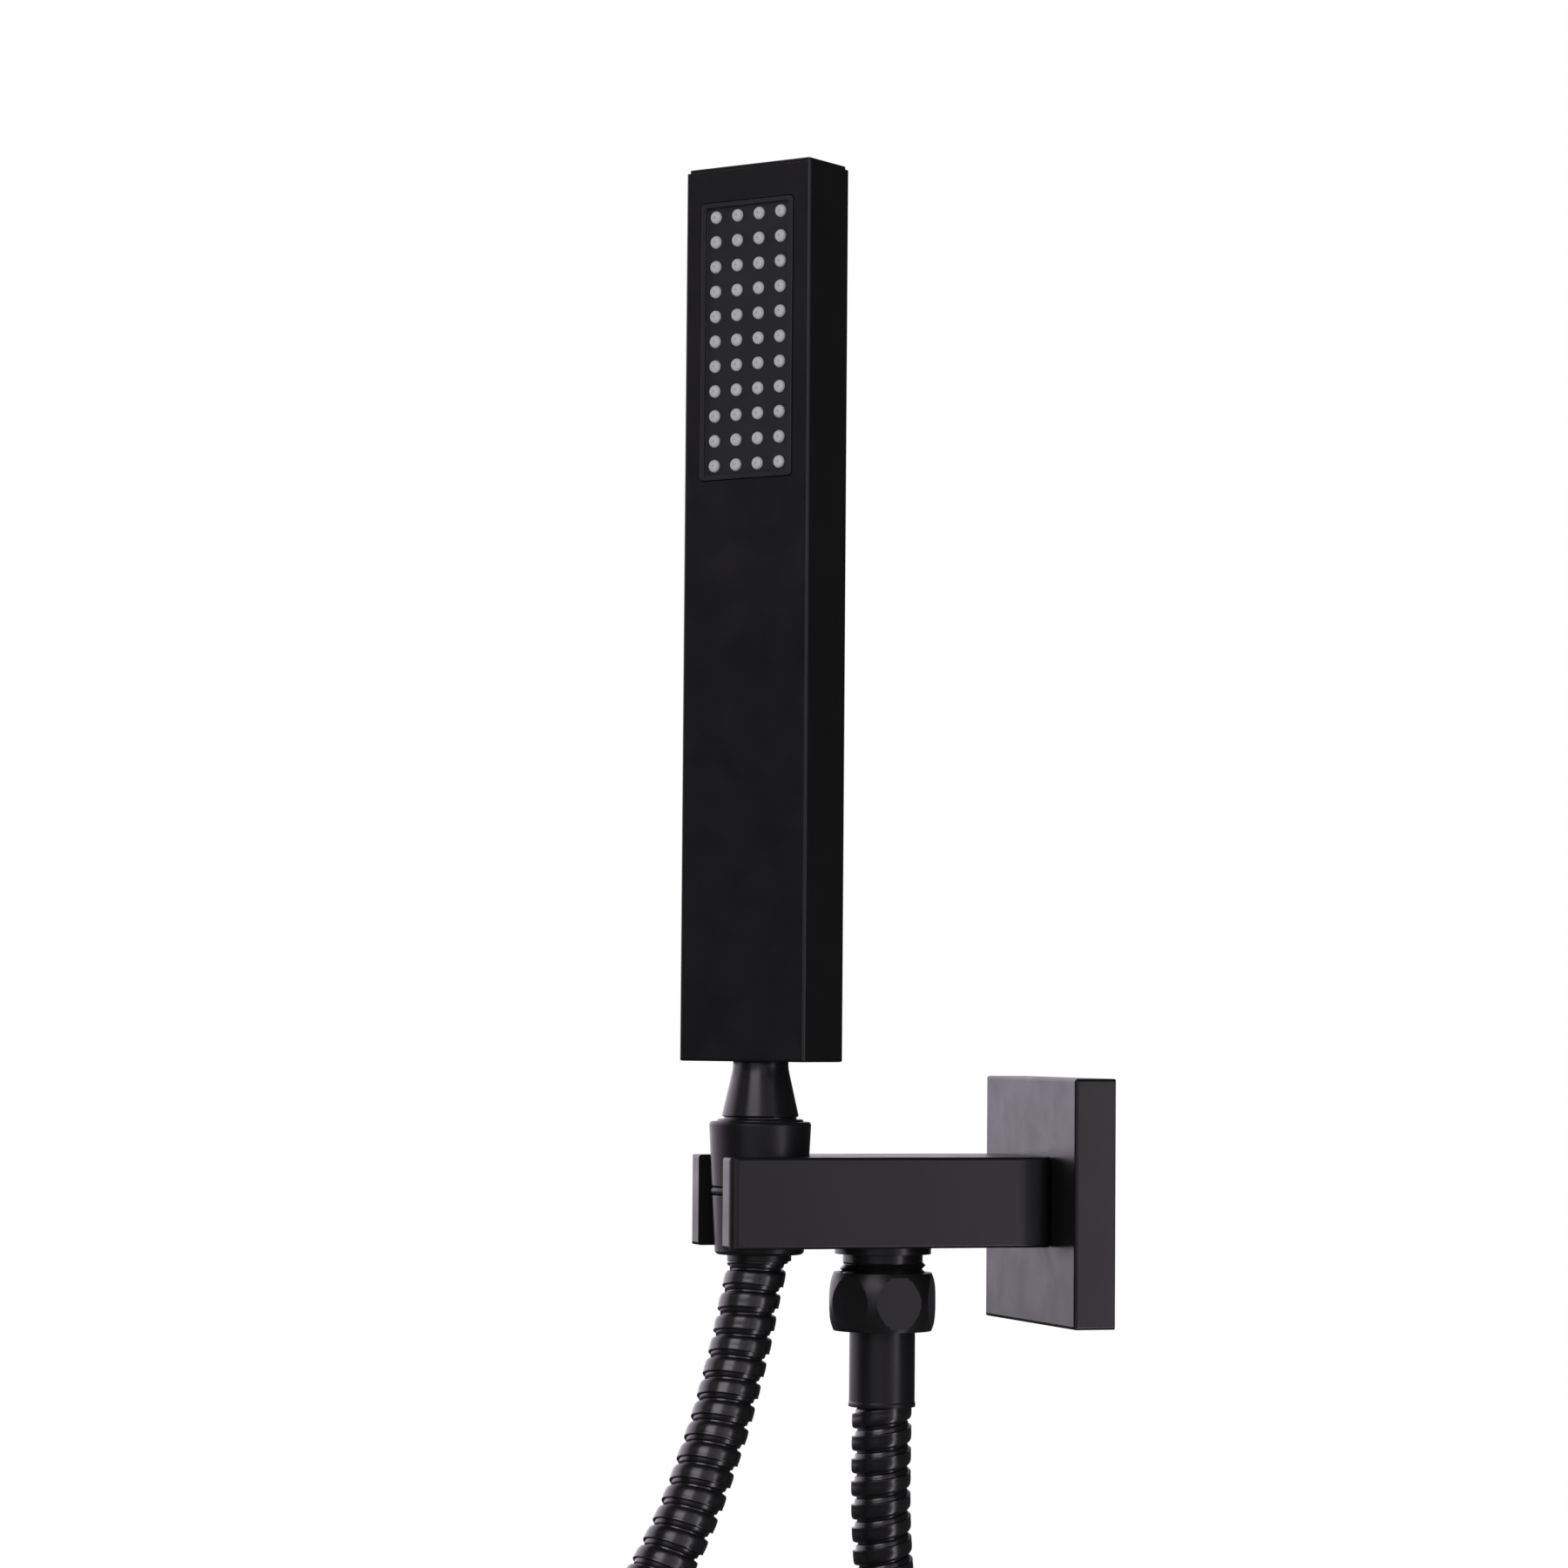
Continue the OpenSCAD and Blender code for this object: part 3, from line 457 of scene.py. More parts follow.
def uneven_patches():
    """Soft uneven patches between a low and a high amount."""
    tree, given, out = new_group("Uneven Patches", ("Amount",), Scale=40.0, Low=0.0, High=1.0)
    cloud = add_node(tree, "ShaderNodeTexNoise", Detail=4.0, Roughness=0.55, Distortion=0.4)
    spread = add_node(tree, "ShaderNodeMapRange", clamp=True, From_Min=0.35, From_Max=0.65)
    link(
        tree,
        (given["Vector"], cloud.inputs["Vector"]),
        (given["Scale"], cloud.inputs["Scale"]),
        (cloud.outputs["Fac"], spread.inputs["Value"]),
        (given["Low"], spread.inputs["To Min"]),
        (given["High"], spread.inputs["To Max"]),
        (spread.outputs["Result"], out["Amount"]),
    )


def grouped(tree, name, vector, **values):
    """Place a shared group in a material with its own values."""
    made = tree.nodes.new("ShaderNodeGroup")
    made.node_tree = bpy.data.node_groups[name]
    set_inputs(made, **values)
    link(tree, (vector, made.inputs["Vector"]))
    return made.outputs


def finish_material(name, colour, lighter=1.25, rough=(0.28, 0.34), patches=40.0, grain=2400.0,
                    lathe=None, bump=0.15, depth=2e-5, metallic=0.0, specular=0.5):
    """A finish with uneven patches in its colour and gloss, and grain, or lathe marks where their
    number is given, in its bump."""
    made = bpy.data.materials.new(name)
    made.use_nodes = True
    tree = made.node_tree
    shader = tree.nodes["Principled BSDF"]
    set_inputs(
        shader, Metallic=metallic, Specular_IOR_Level=specular,
        Specular_Tint=(1, 1, 1, 1) if metallic else (0.98, 0.91, 1.0, 1))
    where = tree.nodes.new("ShaderNodeTexCoord").outputs["Object"]
    cloud = grouped(tree, "Uneven Patches", where, Scale=patches)
    gloss = grouped(
        tree, "Uneven Patches", where, Scale=patches * 2.3, Low=rough[0], High=rough[1])
    if lathe:
        relief = grouped(tree, "Lathe Marks", where, Lines=lathe)
    else:
        relief = grouped(tree, "Coat Grain", where, Scale=grain)
    mix = add_node(tree, "ShaderNodeMix", data_type="RGBA")
    set_inputs(mix, A=(*colour, 1), B=(*(min(c * lighter, 1) for c in colour), 1))
    dent = add_node(tree, "ShaderNodeBump", Strength=bump, Distance=depth)
    link(
        tree,
        (cloud["Amount"], mix.inputs["Factor"]),
        (mix.outputs["Result"], shader.inputs["Base Color"]),
        (gloss["Amount"], shader.inputs["Roughness"]),
        (relief["Height"], dent.inputs["Height"]),
        (dent.outputs["Normal"], shader.inputs["Normal"]),
    )


# ---------------------------------------------------------------- camera


class HANDSHOWER_OT_camera(bpy.types.Operator):
    """Put the camera just above the bracket's arm, looking slightly up at the front"""

    bl_idname = "handshower.camera"
    bl_label = "Camera"

    def execute(self, context):
        spot = (-0.4394, -1.0962, 0.0422)
        turn, tilt, roll = -18.405, 2.889, 0.437     # degrees
        deselect_all()
        bpy.ops.object.camera_add(location=(0, 0, 0))
        camera = context.active_object
        camera.name = "camera"
        camera.data.lens, camera.data.sensor_width = 109.86, 36
        camera.data.clip_start, camera.data.clip_end = 0.01, 50
        camera.matrix_world = (
            Matrix.Translation(spot)
            @ Matrix.Rotation(math.radians(turn), 4, "Z")
            @ Matrix.Rotation(math.radians(90 + tilt), 4, "X")
            @ Matrix.Rotation(math.radians(roll), 4, "Z"))
        context.scene.camera = camera
        return {"FINISHED"}


# ---------------------------------------------------------------- hose

# share of the pitch, and share of the way up from the groove, across a band and its groove
HOSE_STRIP = (
    (0.000, 0.00), (0.030, 0.50), (0.065, 0.79), (0.130, 0.92), (0.250, 0.98), (0.420, 1.00),
    (0.600, 0.96), (0.655, 1.00), (0.680, 0.97), (0.705, 0.48), (0.760, 0.40), (0.880, 0.36),
    (0.915, 0.22), (0.935, 0.00),
)


def sideways(line):
    """Two directions across the route at each of its points, carried along without twisting."""
    ahead = np.gradient(line, axis=0)
    ahead /= np.linalg.norm(ahead, axis=1)[:, None]
    side = np.zeros_like(line)
    side[0] = np.cross((0, 1, 0), ahead[0])
    for i in range(1, len(line)):
        side[i] = side[i - 1] - ahead[i] * (side[i - 1] @ ahead[i])
        side[i] /= np.linalg.norm(side[i])
    return side, np.cross(side, ahead)     # in this order the grooves rise to the right in front


def hose_stretch(name, places, line, start, end, sizes):
    """One stretch of the spiral metal hose: a strip wound round it as rounded bands, each ending in
    a thin lip, with a lower step and a narrow groove after it."""
    pitch, low = sizes.pitch, sizes.groove / 2
    step = sizes.outside / 2 - low
    columns, rows = sizes.columns, len(HOSE_STRIP)
    first = math.floor(start / pitch) - 1
    count = (math.ceil(end / pitch) - first + 2) * rows
    turn, row = np.divmod(np.arange(count), rows)
    share, rise = np.array(HOSE_STRIP)[row].T
    spot = ((first + turn + share)[:, None] - np.arange(columns) / columns) * pitch
    held = np.clip(spot, start, end)
    radius = np.where(held == spot, (low + rise * step)[:, None], low)
    side, other = sideways(line)
    mesh = bmesh.new()
    dots = []                         # the points of each column, up along the strip
    for j in range(columns):
        angle = 2 * math.pi * j / columns
        at, u, v = (read_along(places, values, held[:, j]) for values in (line, side, other))
        column = at + radius[:, j:j + 1] * (math.cos(angle) * u + math.sin(angle) * v)
        dots.append([mesh.verts.new(point) for point in column])
    for k in range(count - 1):
        for j in range(columns):
            # past the last column the strip goes on in the first, one turn lower
            near, beside = (k, j + 1) if j + 1 < columns else (k - rows, 0)
            if near < 0:
                continue
            corners = ((k, j), (near, beside), (near + 1, beside), (k + 1, j))
            spots = [held[corner] for corner in corners]
            if max(spots) > start and min(spots) < end:
                mesh.faces.new([dots[b][a] for a, b in corners])
    bmesh.ops.remove_doubles(mesh, verts=mesh.verts, dist=MERGE)
    bmesh.ops.dissolve_degenerate(mesh, dist=MERGE, edges=mesh.edges)
    loose = [v for v in mesh.verts if not v.link_faces]
    bmesh.ops.delete(mesh, geom=loose, context="VERTS")
    rim = [e for e in mesh.edges if e.is_boundary]
    bmesh.ops.holes_fill(mesh, edges=rim, sides=0)
    bmesh.ops.recalc_face_normals(mesh, faces=mesh.faces)
    data = bpy.data.meshes.new(name)
    mesh.to_mesh(data)
    mesh.free()
    piece = bpy.data.objects.new(name, data)
    bpy.context.scene.collection.objects.link(piece)
    pick(piece)
    bpy.ops.object.shade_smooth_by_angle(angle=math.radians(50))
    return piece


class HANDSHOWER_OT_hose(bpy.types.Operator):
    """Wind the metal hose from the handset, round its coil, to the outlet"""

    bl_idname = "handshower.hose"
    bl_label = "Metal Hose"

    def execute(self, context):
        sizes = context.scene.hand_shower_hose
        places, line, leg_end = hose_route()
        total = float(places[-1])
        handset = hose_stretch("handset_hose_metal", places, line, 0.0, leg_end, sizes)
        supply = hose_stretch("supply_hose_metal", places, line, leg_end, total, sizes)
        finished(handset, "Hose Metal", "black_hose", None, "handset_hose")
        finished(supply, "Hose Metal", "black_hose", "bracket", "outlet_hose", "hose_coil")
        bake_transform(handset)
        return {"FINISHED"}


# ---------------------------------------------------------------- stage

STAGE_MIDDLE = (-0.07, 0)


class HANDSHOWER_OT_stage(bpy.types.Operator):
    """Lay a pale floor, hang the soft lights and set the pale surroundings"""

    bl_idname = "handshower.stage"
    bl_label = "Floor and Lights"

    def execute(self, context):
        stage = context.scene.hand_shower_stage
        floor_z = CAD_BOX[0].z - 0.0002
        deselect_all()
        bpy.ops.mesh.primitive_circle_add(
            vertices=96, radius=6, fill_type="NGON", location=(*STAGE_MIDDLE, floor_z))
        floor = settle("floor")
        floor.data.materials.append(floor_material())
        surround(context.scene, stage.backdrop)
        # name, place, what it faces, size, brightness
        for name, spot, aim, size, brightness in (
            ("key_light", (-1.37, -1.48, 1.03), (-0.08, 0, 0.03), (1.35, 0.8), stage.key),
            ("side_panel", (0.52, -1.62, 0.33), (-0.06, 0, 0.33), (0.75, 1.0), stage.side_panel),
            ("strip_panel", (0.487, -0.835, -0.06), (-0.065, 0, -0.06), (0.13, 0.34), stage.strip),
            ("left_panel", (-1.24, -1.23, 0.06), (-0.08, 0, 0.03), (0.95, 0.8), stage.left_panel),
            ("left_glow", (-1.62, -0.12, 0.72), (-0.08, 0, 0.2), (0.6, 0.5), stage.left_glow),
            ("front_fill", (-0.47, -1.70, 0.40), (-0.08, 0, 0.40), (1.1, 1.0), stage.front_fill),
            ("floor_strip", (0.26, -0.52, floor_z + 0.002), None, (0.10, 0.70), stage.strip),
        ):
            bpy.ops.object.light_add(type="AREA", location=spot)
            lamp = context.active_object
            lamp.name = name
            lamp.data.shape = "RECTANGLE"
            lamp.data.size, lamp.data.size_y = size
            lamp.data.energy = brightness * math.pi * size[0] * size[1]
            if aim:
                towards = Vector(aim) - Vector(spot)
                lamp.rotation_euler = towards.to_track_quat("-Z", "Y").to_euler()
            else:        # face up, lying from the object towards the front right
                lamp.rotation_euler = (math.pi, 0, math.radians(-148))
            lamp.visible_camera = False
        context.scene.view_settings.view_transform = "Standard"
        return {"FINISHED"}


def ring_fade(tree, distance, near, far):
    """0 nearer to the stage's middle than one distance, and 1 past another, in metres."""
    fade = add_node(tree, "ShaderNodeMapRange", interpolation_type="SMOOTHSTEP",
                    From_Min=near, From_Max=far)
    link(tree, (distance, fade.inputs["Value"]))
    return fade.outputs["Result"]


def mixed(tree, factor, first, second):
    """The output of a Mix Shader between two shaders."""
    mix = tree.nodes.new("ShaderNodeMixShader")
    link(tree, (factor, mix.inputs[0]), (first, mix.inputs[1]), (second, mix.inputs[2]))
    return mix.outputs[0]


def floor_material():
    """Pale floor that takes the object's shadow and turns into the white surroundings further out.
    Gloss sees it dark nearby, and further out sees through it to the backdrop."""
    made = bpy.data.materials.new("Pale Floor")
    made.use_nodes = True
    tree = made.node_tree
    shader = tree.nodes["Principled BSDF"]
    set_inputs(shader, Base_Color=(0.86, 0.86, 0.86, 1), Roughness=0.9, Specular_IOR_Level=0.1)
    white = add_node(tree, "ShaderNodeEmission", Strength=1.0)
    dark = add_node(tree, "ShaderNodeEmission", Strength=0.06)
    open_air = tree.nodes.new("ShaderNodeBsdfTransparent")
    where = tree.nodes.new("ShaderNodeTexCoord").outputs["Object"]
    seen = tree.nodes.new("ShaderNodeLightPath").outputs
    away = add_node(tree, "ShaderNodeVectorMath", operation="DISTANCE")
    away.inputs[1].default_value = (*STAGE_MIDDLE, CAD_BOX[0].z)
    far_seen = add_node(tree, "ShaderNodeMath", operation="MULTIPLY")
    distance = away.outputs["Value"]
    link(
        tree,
        (where, away.inputs[0]),
        (ring_fade(tree, distance, 0.25, 0.95), far_seen.inputs[0]),
        (seen["Is Camera Ray"], far_seen.inputs[1]),
    )
    plain = mixed(tree, far_seen.outputs[0], shader.outputs[0], white.outputs[0])
    glossy = mixed(tree, ring_fade(tree, distance, 2.0, 4.5), dark.outputs[0], open_air.outputs[0])
    surface = mixed(tree, seen["Is Glossy Ray"], plain, glossy)
    link(tree, (surface, tree.nodes["Material Output"].inputs["Surface"]))
    return made


def surround(scene, backdrop):
    """White behind the object for the camera, even pale light for matt surfaces, and for gloss a
    white backdrop behind the object with dark sides."""
    world = scene.world or bpy.data.worlds.new("World")
    scene.world = world
    world.use_nodes = True
    tree = world.node_tree
    tree.nodes.clear()
    out = tree.nodes.new("ShaderNodeOutputWorld")
    even = add_node(tree, "ShaderNodeBackground", Color=(1, 1, 1, 1), Strength=0.62)
    white = add_node(tree, "ShaderNodeBackground", Color=(1, 1, 1, 1), Strength=1.0)
    mirror = add_node(tree, "ShaderNodeBackground", Color=(1.0, 0.93, 1.05, 1))
    way = tree.nodes.new("ShaderNodeTexCoord").outputs["Generated"]
    seen = tree.nodes.new("ShaderNodeLightPath").outputs
    facing = add_node(tree, "ShaderNodeVectorMath", operation="DOT_PRODUCT")
    facing.inputs[1].default_value = (-0.375, 0.927, 0.0)      # towards the backdrop's middle
    slope = add_node(tree, "ShaderNodeMapRange", interpolation_type="SMOOTHSTEP",
                     From_Min=0.45, From_Max=0.96, To_Min=0.02, To_Max=backdrop)
    link(
        tree,
        (way, facing.inputs[0]),
        (facing.outputs["Value"], slope.inputs["Value"]),
        (slope.outputs["Result"], mirror.inputs["Strength"]),
    )
    light = mixed(tree, seen["Is Glossy Ray"], even.outputs[0], mirror.outputs[0])
    view = mixed(tree, seen["Is Camera Ray"], light, white.outputs[0])
    link(tree, (view, out.inputs["Surface"]))


# ---------------------------------------------------------------- finishes

WORN = {
    "Satin Coat": "wall_flange bracket_arm handset_bar top_cap",
    "Smooth Coat": "handset_nut union_nut outlet_ferrule handset_ferrule",
    "Turned Coat": "handset_neck outlet_nipple",
    "Spray Plate": "spray_face",
    "Nozzle Silicone": "nozzle_mat",
    "Machined Brass": "inlet_nipple outlet_tail handset_tail",
    "Seal Rubber": "flange_seal inlet_washer outlet_seal valve_seal outlet_washer nut_ring"
                   " nut_washer neck_seal riser_seal_low riser_seal_high",
    "White Plastic": "valve_body valve_poppet flow_restrictor riser_tube water_tray",
    "Spring Steel": "valve_spring strainer",
    "Strap Rubber": "coil_tie",
    "Hose Metal": "outlet_hose hose_coil handset_hose",
}


class HANDSHOWER_OT_finishes(bpy.types.Operator):
    """Mix the finishes and put them on the nodes carried over from the frame"""

    bl_idname = "handshower.finishes"
    bl_label = "Finishes"

    def execute(self, context):
        coat_grain()
        lathe_marks()
        uneven_patches()
        self.mix(context.scene.hand_shower_coat, tuple(context.scene.hand_shower_hose.colour))
        for finish, nodes in WORN.items():
            for node in nodes.split():
                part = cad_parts[node]
                part.data.materials.clear()
                part.data.materials.append(bpy.data.materials[finish])
        return {"FINISHED"}

    def mix(self, colours, hose):
        """Make one material for each finish."""
        coat = tuple(colours.coat)
        finish_material("Satin Coat", coat, rough=(0.29, 0.36), bump=0.22)
        finish_material("Turned Coat", coat, rough=(0.24, 0.31), lathe=11000.0, bump=0.20,
                        depth=1.5e-5)
        finish_material("Smooth Coat", coat, rough=(0.31, 0.37), bump=0.05, specular=0.46)
        finish_material("Hose Metal", hose, rough=(0.22, 0.28), patches=90.0, bump=0.06,
                        specular=0.8)
        finish_material("Spray Plate", tuple(colours.insert), rough=(0.30, 0.38), grain=3200.0,
                        bump=0.30)
        finish_material("Nozzle Silicone", tuple(colours.silicone), lighter=1.06,
                        rough=(0.5, 0.62), patches=120.0, bump=0.12)
        finish_material("Machined Brass", (0.72, 0.50, 0.20), lighter=1.12, rough=(0.22, 0.34),
                        lathe=7000.0, bump=0.3, metallic=1.0)
        finish_material("Seal Rubber", (0.012, 0.012, 0.012), rough=(0.42, 0.55), bump=0.2)
        finish_material("White Plastic", (0.80, 0.80, 0.77), lighter=1.03, rough=(0.35, 0.45),
                        bump=0.1)
        finish_material("Spring Steel", (0.55, 0.55, 0.56), lighter=1.1, rough=(0.2, 0.3),
                        grain=5000.0, bump=0.1, metallic=1.0)
        finish_material("Strap Rubber", (0.010, 0.010, 0.010), rough=(0.5, 0.62), grain=1600.0,
                        bump=0.4)


# ---------------------------------------------------------------- turned pieces, millimetres

UNION_HOLE_R = 6.48               # hole of a nut round its hose tail
THREAD_HOLE_R = 10.58             # root of a female hose thread
CRIMP_HOLE_R = 4.55               # inside of a ferrule, round its hose tail


class HANDSHOWER_OT_handset_nut(bpy.types.Operator):
    """Turn the tapered handset nut, its sealing ring and the hose's collar under it"""

    bl_idname = "handshower.handset_nut"
    bl_label = "Handset Nut, Ring and Collar"

    ring_section = 1.0                # radius of the ring's round section
    ring_z = (NUT_SEAL_LOW.z + NUT_SEAL_HIGH.z) / 2 / MM
    ring_r = (NUT_SEAL_HIGH.x - NUT_SEAL_LOW.x) / 2 / MM - ring_section

    def execute(self, context):
        self.nut()
        self.ring()
        self.collar()
        return {"FINISHED"}

    def nut(self):
        low, high = NUT_LOW.z / MM, NUT_HIGH.z / MM
        foot_r, top_r, edge = 10.7, 12.3, 0.6
        slot = 1.1                    # half the height of the ring's groove
        slot_r = self.ring_r - self.ring_section
        web, web_t, crimp_r = self.ring_z + slot, 2.0, 7.85

        def face(z):
            """Radius of the tapered outside at a level."""
            return foot_r + (top_r - foot_r) * (z - low) / (high - low)

        outline = [
            (face(low) - edge, low), (face(low + edge), low + edge),
            (face(self.ring_z - slot), self.ring_z - slot), (slot_r, self.ring_z - slot),
            (slot_r, self.ring_z + slot), (face(self.ring_z + slot), self.ring_z + slot),
            (face(high - edge), high - edge), (face(high) - 0.45, high),
            (THREAD_HOLE_R, high), (THREAD_HOLE_R, web + web_t),
            (UNION_HOLE_R, web + web_t), (UNION_HOLE_R, web), (crimp_r, web), (crimp_r, low),
        ]
        nut = turned("handset_nut_turned", FORK, outline)
        soften(nut, 0.00018)
        finished(nut, "Smooth Coat", "black_coat", "handset", "handset_nut")

    def ring(self):
        deselect_all()
        bpy.ops.mesh.primitive_torus_add(
            major_radius=self.ring_r * MM, minor_radius=self.ring_section * MM,
            major_segments=96, minor_segments=20, location=(*FORK, self.ring_z * MM))
        seal = settle("sealing_ring_round")
        bpy.ops.object.shade_smooth()
        finished(seal, "Seal Rubber", "gasket", "handset", "nut_ring")

    def collar(self):
        """Crimped ferrule of the hose, whose smooth collar shows under the nut."""
        low, high = CRIMP_LOW.z / MM, CRIMP_HIGH.z / MM
        foot = NUT_LOW.z / MM - 1.6   # how far the collar stands out of the nut
        outline = [
            (7.5, high), (7.5, low + 0.4), (7.72, low), (7.72, foot + 0.15), (7.6, foot),
            (7.3, foot), (7.3, low), (CRIMP_HOLE_R, low), (CRIMP_HOLE_R, high),
        ]
        collar = turned("hose_collar_crimped", FORK, outline)
        soften(collar, 0.00012)
        finished(collar, "Smooth Coat", "black_coat", "hose_end", "handset_ferrule")


class HANDSHOWER_OT_neck(bpy.types.Operator):
    """Turn the handset's neck: thread, relief, cone and spigot"""

    bl_idname = "handshower.neck"
    bl_label = "Handset Neck"

    def execute(self, context):
        low, high = NECK_LOW.z / MM, NECK_HIGH.z / MM
        nut, foot = NUT_HIGH.z / MM, BAR_LOW.z / MM
        thread_r, relief_r, cone_r, waist_r = 10.4, 8.75, 9.25, 6.7
        spigot_r, bore_r, mouth_r, mouth_h = 6.1, 3.65, 7.05, 3
        outline = [
            (thread_r, low), (thread_r, nut + 0.2), (thread_r - 0.25, nut + 0.6),
            (relief_r, nut + 0.6), (relief_r, nut + 1.2), (cone_r - 0.15, nut + 1.2),
            (cone_r, nut + 1.4), (waist_r + 0.3, foot - 3.0), (waist_r + 0.08, foot - 1.9),
            (waist_r, foot - 0.9), (waist_r, foot), (spigot_r, foot), (spigot_r, high),
            (bore_r, high), (bore_r, low + mouth_h), (mouth_r, low + mouth_h), (mouth_r, low),
        ]
        neck = turned("handset_neck_turned", FORK, outline)
        soften(neck, 0.00012)
        finished(neck, "Turned Coat", "black_coat", "handset", "handset_neck")
        return {"FINISHED"}


class HANDSHOWER_OT_outlet(bpy.types.Operator):
    """Turn the outlet's nipple with its thread, the valve's spring, the union nut with its six
    flats, and the ferrule"""

    bl_idname = "handshower.outlet"
    bl_label = "Outlet, Valve Spring, Union Nut and Ferrule"

    def execute(self, context):
        self.nipple()
        self.union_nut()
        self.ferrule()
        self.spring()
        return {"FINISHED"}

    def nipple(self):
        low, high = NIPPLE_LOW.z / MM, NIPPLE_HIGH.z / MM
        arm = ARM_LOW.z / MM
        stub_r, bore_r, socket_r, socket_h = 7.9, 4.0, 6.75, 12.5
        rim_r, rim_t, neck_r, thread_r = 11.7, 1.9, 9.7, 9.5
        tooth, rise = 0.92, 1.814     # of the thread, in millimetres
        outline = [
            (stub_r, high), (stub_r, arm), (rim_r, arm), (rim_r, arm - rim_t),
            (neck_r, arm - rim_t), (neck_r, arm - 4.0), (thread_r, arm - 4.2), (thread_r, low),
            (socket_r, low), (socket_r, low + socket_h), (bore_r, low + socket_h), (bore_r, high),
        ]
        nipple = turned("outlet_nipple_turned", OUTLET, outline)
        soften(nipple, 0.00015)
        thread = wound(
            "outlet_thread", OUTLET, tooth * MM,
            (OUTLET[0] + thread_r * MM, OUTLET[1], (arm - 11.76) * MM), 4, rise * MM, 4, 64)
        pick(nipple, thread)
        bpy.ops.object.join()
        finished(nipple, "Turned Coat", "black_coat", "bracket", "outlet_nipple")

    def union_nut(self):
        low, high = UNION_LOW.z / MM, UNION_HIGH.z / MM
        middle = (low + high) / 2
        wide, flat = ((UNION_HIGH - UNION_LOW) / 2 / MM).xy
        barrel_r, web_t = 17.8, 2.7   # the rounded side, and the web that holds the hose tail
        half = math.degrees(math.asin((high - low) / 2 / barrel_r))
        barrel = arc((wide - barrel_r, middle), barrel_r, half, -half, 16)
        outline = [
            *barrel, (UNION_HOLE_R, low), (UNION_HOLE_R, low + web_t),
            (THREAD_HOLE_R, low + web_t), (THREAD_HOLE_R, high),
        ]
        nut = turned("union_nut_turned", OUTLET, outline, sides=144)
        bpy.ops.object.mode_set(mode="EDIT")
        for turn in range(6):
            way = math.radians(60 * turn + 30)
            side = Vector((math.cos(way), math.sin(way), 0))
            bpy.ops.mesh.select_all(action="SELECT")
            bpy.ops.mesh.bisect(
                plane_co=Vector((*OUTLET, middle * MM)) + side * flat * MM, plane_no=side,
                use_fill=True, clear_outer=True)
        bpy.ops.mesh.select_all(action="SELECT")
        bpy.ops.mesh.remove_doubles(threshold=MERGE)
        bpy.ops.object.mode_set(mode="OBJECT")
        soften(nut, 0, smooth=8)
        finished(nut, "Smooth Coat", "black_coat", "bracket", "union_nut")

    def ferrule(self):
        low, high = FERRULE_LOW.z / MM, FERRULE_HIGH.z / MM
        side_r, bead_r = 7.95, 8.1
        outline = [
            (side_r, high), (side_r, low + 1.2), (bead_r, low + 1.0), (bead_r, low),
            (CRIMP_HOLE_R, low), (CRIMP_HOLE_R, high),
        ]
        ferrule = turned("outlet_ferrule_turned", OUTLET, outline)
        soften(ferrule, 0.00018)
        finished(ferrule, "Smooth Coat", "black_coat", "bracket", "outlet_ferrule")

    def spring(self):
        """Return spring of the check valve, wound from its foot up to its top."""
        wire, turns = 0.3 * MM, 5     # the wire's radius
        foot, top = SPRING_LOW.z, SPRING_HIGH.z
        spring = wound(
            "valve_spring_wound", OUTLET, wire, (SPRING_HIGH.x - wire, OUTLET[1], foot + wire), 10,
            (top - foot - 2 * wire) / turns, turns, 32)
        finished(spring, "Spring Steel", "spring_steel", None, "valve_spring")
        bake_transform(spring)


# ---------------------------------------------------------------- spray face, millimetres

FACE_Z = 207.5                    # height of the face's middle
PLATE_FRONT = 8.7                 # these three are measured from the bar's axis
NOZZLE_FRONT = 8.8
MAT_FRONT = 5.2
COLUMNS, ROWS = 4, 11
COLUMN_STEP, ROW_STEP = 6.33, 6.06


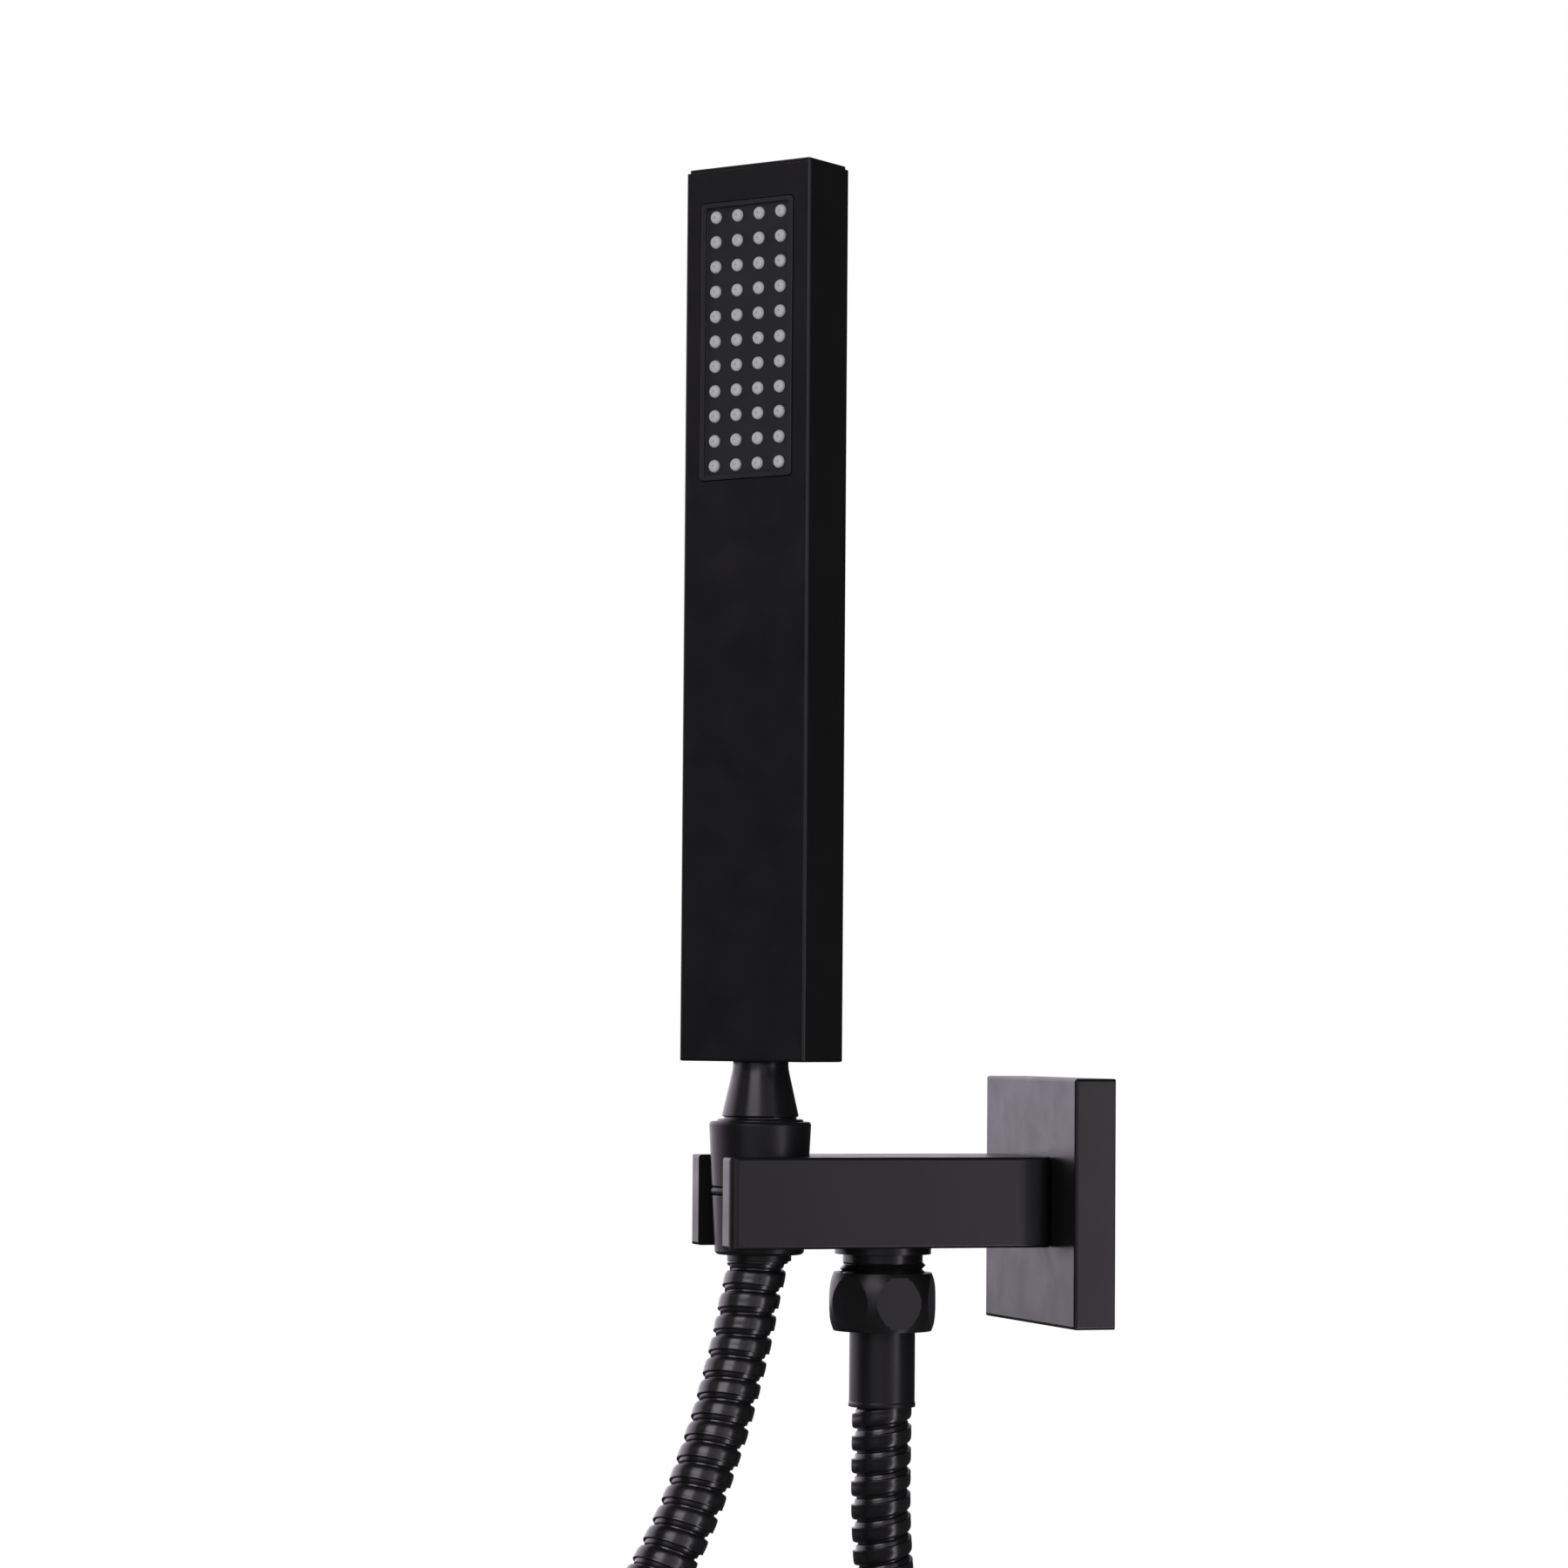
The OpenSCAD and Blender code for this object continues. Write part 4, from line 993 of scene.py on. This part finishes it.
class HANDSHOWER_OT_spray_face(bpy.types.Operator):
    """Frame the spray plate and set its rows of silicone nozzles"""

    bl_idname = "handshower.spray_face"
    bl_label = "Spray Plate and Nozzles"

    def execute(self, context):
        self.plate()
        self.nozzles(context.scene.hand_shower_nozzles)
        return {"FINISHED"}

    def plate(self):
        width, length, thick = 26.7, 67.5, 3.5
        rim, sunk = 1.15, 0.8
        deselect_all()
        bpy.ops.mesh.primitive_cube_add(
            size=1, location=(-(PLATE_FRONT - thick / 2) * MM, 0, FACE_Z * MM),
            scale=(thick * MM, width * MM, length * MM))
        plate = settle("spray_plate_framed")
        bpy.ops.object.mode_set(mode="EDIT")
        select_where(plate, lambda f: f.normal.x < -0.9)
        bpy.ops.mesh.inset(thickness=rim * MM)
        bpy.ops.mesh.extrude_region_move(TRANSFORM_OT_translate={"value": (sunk * MM, 0, 0)})

        def depth(edge):
            return abs(edge.verts[0].co.x - edge.verts[1].co.x) / MM

        # corners of the plate, then those of its sunk floor
        for least, radius in ((3.0, 1.0), (0.7, 0.6)):
            select_where(plate, lambda e: least < depth(e) < least + 1, "EDGE")
            bpy.ops.mesh.bevel(offset=radius * MM, segments=6, affect="EDGES")
        bpy.ops.object.mode_set(mode="OBJECT")
        soften(plate, 0.00014)
        place(plate, ON_BAR)
        finished(plate, "Spray Plate", "black_insert", "handset", "spray_face")

    def nozzles(self, sizes):
        """One nozzle, turned and laid forward, then copied in its rows onto the silicone mat."""
        radius, hole = sizes.diameter / 2 / MM, sizes.dimple / 2 / MM
        top, dome_r, lip = NOZZLE_FRONT - MAT_FRONT, 0.85, 0.1
        dome = arc((radius - dome_r, top - dome_r - 0.03), dome_r, 0, 72, 7)
        outline = [(radius, 0.0), *dome, (hole + lip, top), (hole, top - lip), (hole, 0.0)]
        nozzle = turned("nozzle", (0, 0), outline, sides=20)
        bpy.ops.object.shade_smooth_by_angle(angle=math.radians(50))
        # its axis, upright so far, is laid along the bar's front
        place(nozzle, Matrix.Rotation(math.radians(-90), 4, "Y"))
        copies = []
        for column in range(COLUMNS):
            across = -(column - (COLUMNS - 1) / 2) * COLUMN_STEP
            for row in range(ROWS):
                up = FACE_Z + (row - (ROWS - 1) // 2) * ROW_STEP
                pick(nozzle)
                bpy.ops.object.duplicate(linked=False)
                copy = bpy.context.active_object
                place(copy, Matrix.Translation((-MAT_FRONT * MM, across * MM, up * MM)))
                copies.append(copy)
        pick(nozzle)
        bpy.ops.object.delete()
        thick, width, length = 1.2, 29.4, 70.2
        bpy.ops.mesh.primitive_cube_add(
            size=1, location=(-(MAT_FRONT - thick / 2) * MM, 0, FACE_Z * MM),
            scale=(thick * MM, width * MM, length * MM))
        mat = settle("nozzle_mat_silicone")
        soften(mat, 0.0002)
        pick(mat, *copies)
        bpy.ops.object.join()
        place(mat, ON_BAR)
        finished(mat, "Nozzle Silicone", "nozzles", "handset", "nozzle_mat")


# ---------------------------------------------------------------- panel and registration


class HANDSHOWER_PT_sidebar(bpy.types.Panel):
    """Sizes, colours and steps of the hand shower"""

    bl_idname = "HANDSHOWER_PT_sidebar"
    bl_label = "Hand Shower"
    bl_space_type = "VIEW_3D"
    bl_region_type = "UI"
    bl_category = "Hand Shower"

    def draw(self, context):
        for settings, group in SETTINGS.items():
            box = self.layout.box()
            for name in group.__annotations__:
                box.prop(getattr(context.scene, settings), name)
        for step in STEPS:
            self.layout.operator(step.bl_idname)


SETTINGS = {
    "hand_shower_hose": HoseSettings,
    "hand_shower_coat": CoatSettings,
    "hand_shower_nozzles": NozzleSettings,
    "hand_shower_stage": StageSettings,
}
STEPS = (
    HANDSHOWER_OT_camera,
    HANDSHOWER_OT_finishes,
    HANDSHOWER_OT_hose,
    HANDSHOWER_OT_handset_nut,
    HANDSHOWER_OT_neck,
    HANDSHOWER_OT_outlet,
    HANDSHOWER_OT_spray_face,
    HANDSHOWER_OT_stage,
)
CLASSES = (*SETTINGS.values(), *STEPS, HANDSHOWER_PT_sidebar)


def register():
    for each in CLASSES:
        bpy.utils.register_class(each)
    for name, group in SETTINGS.items():
        setattr(bpy.types.Scene, name, PointerProperty(type=group))


def unregister():
    for name in SETTINGS:
        delattr(bpy.types.Scene, name)
    for each in reversed(CLASSES):
        bpy.utils.unregister_class(each)


def main():
    register()
    bpy.ops.handshower.camera()
    bpy.ops.handshower.finishes()
    bpy.ops.handshower.hose()
    bpy.ops.handshower.handset_nut()
    bpy.ops.handshower.neck()
    bpy.ops.handshower.outlet()
    bpy.ops.handshower.spray_face()
    bpy.ops.handshower.stage()


if __name__ == "__main__":
    main()
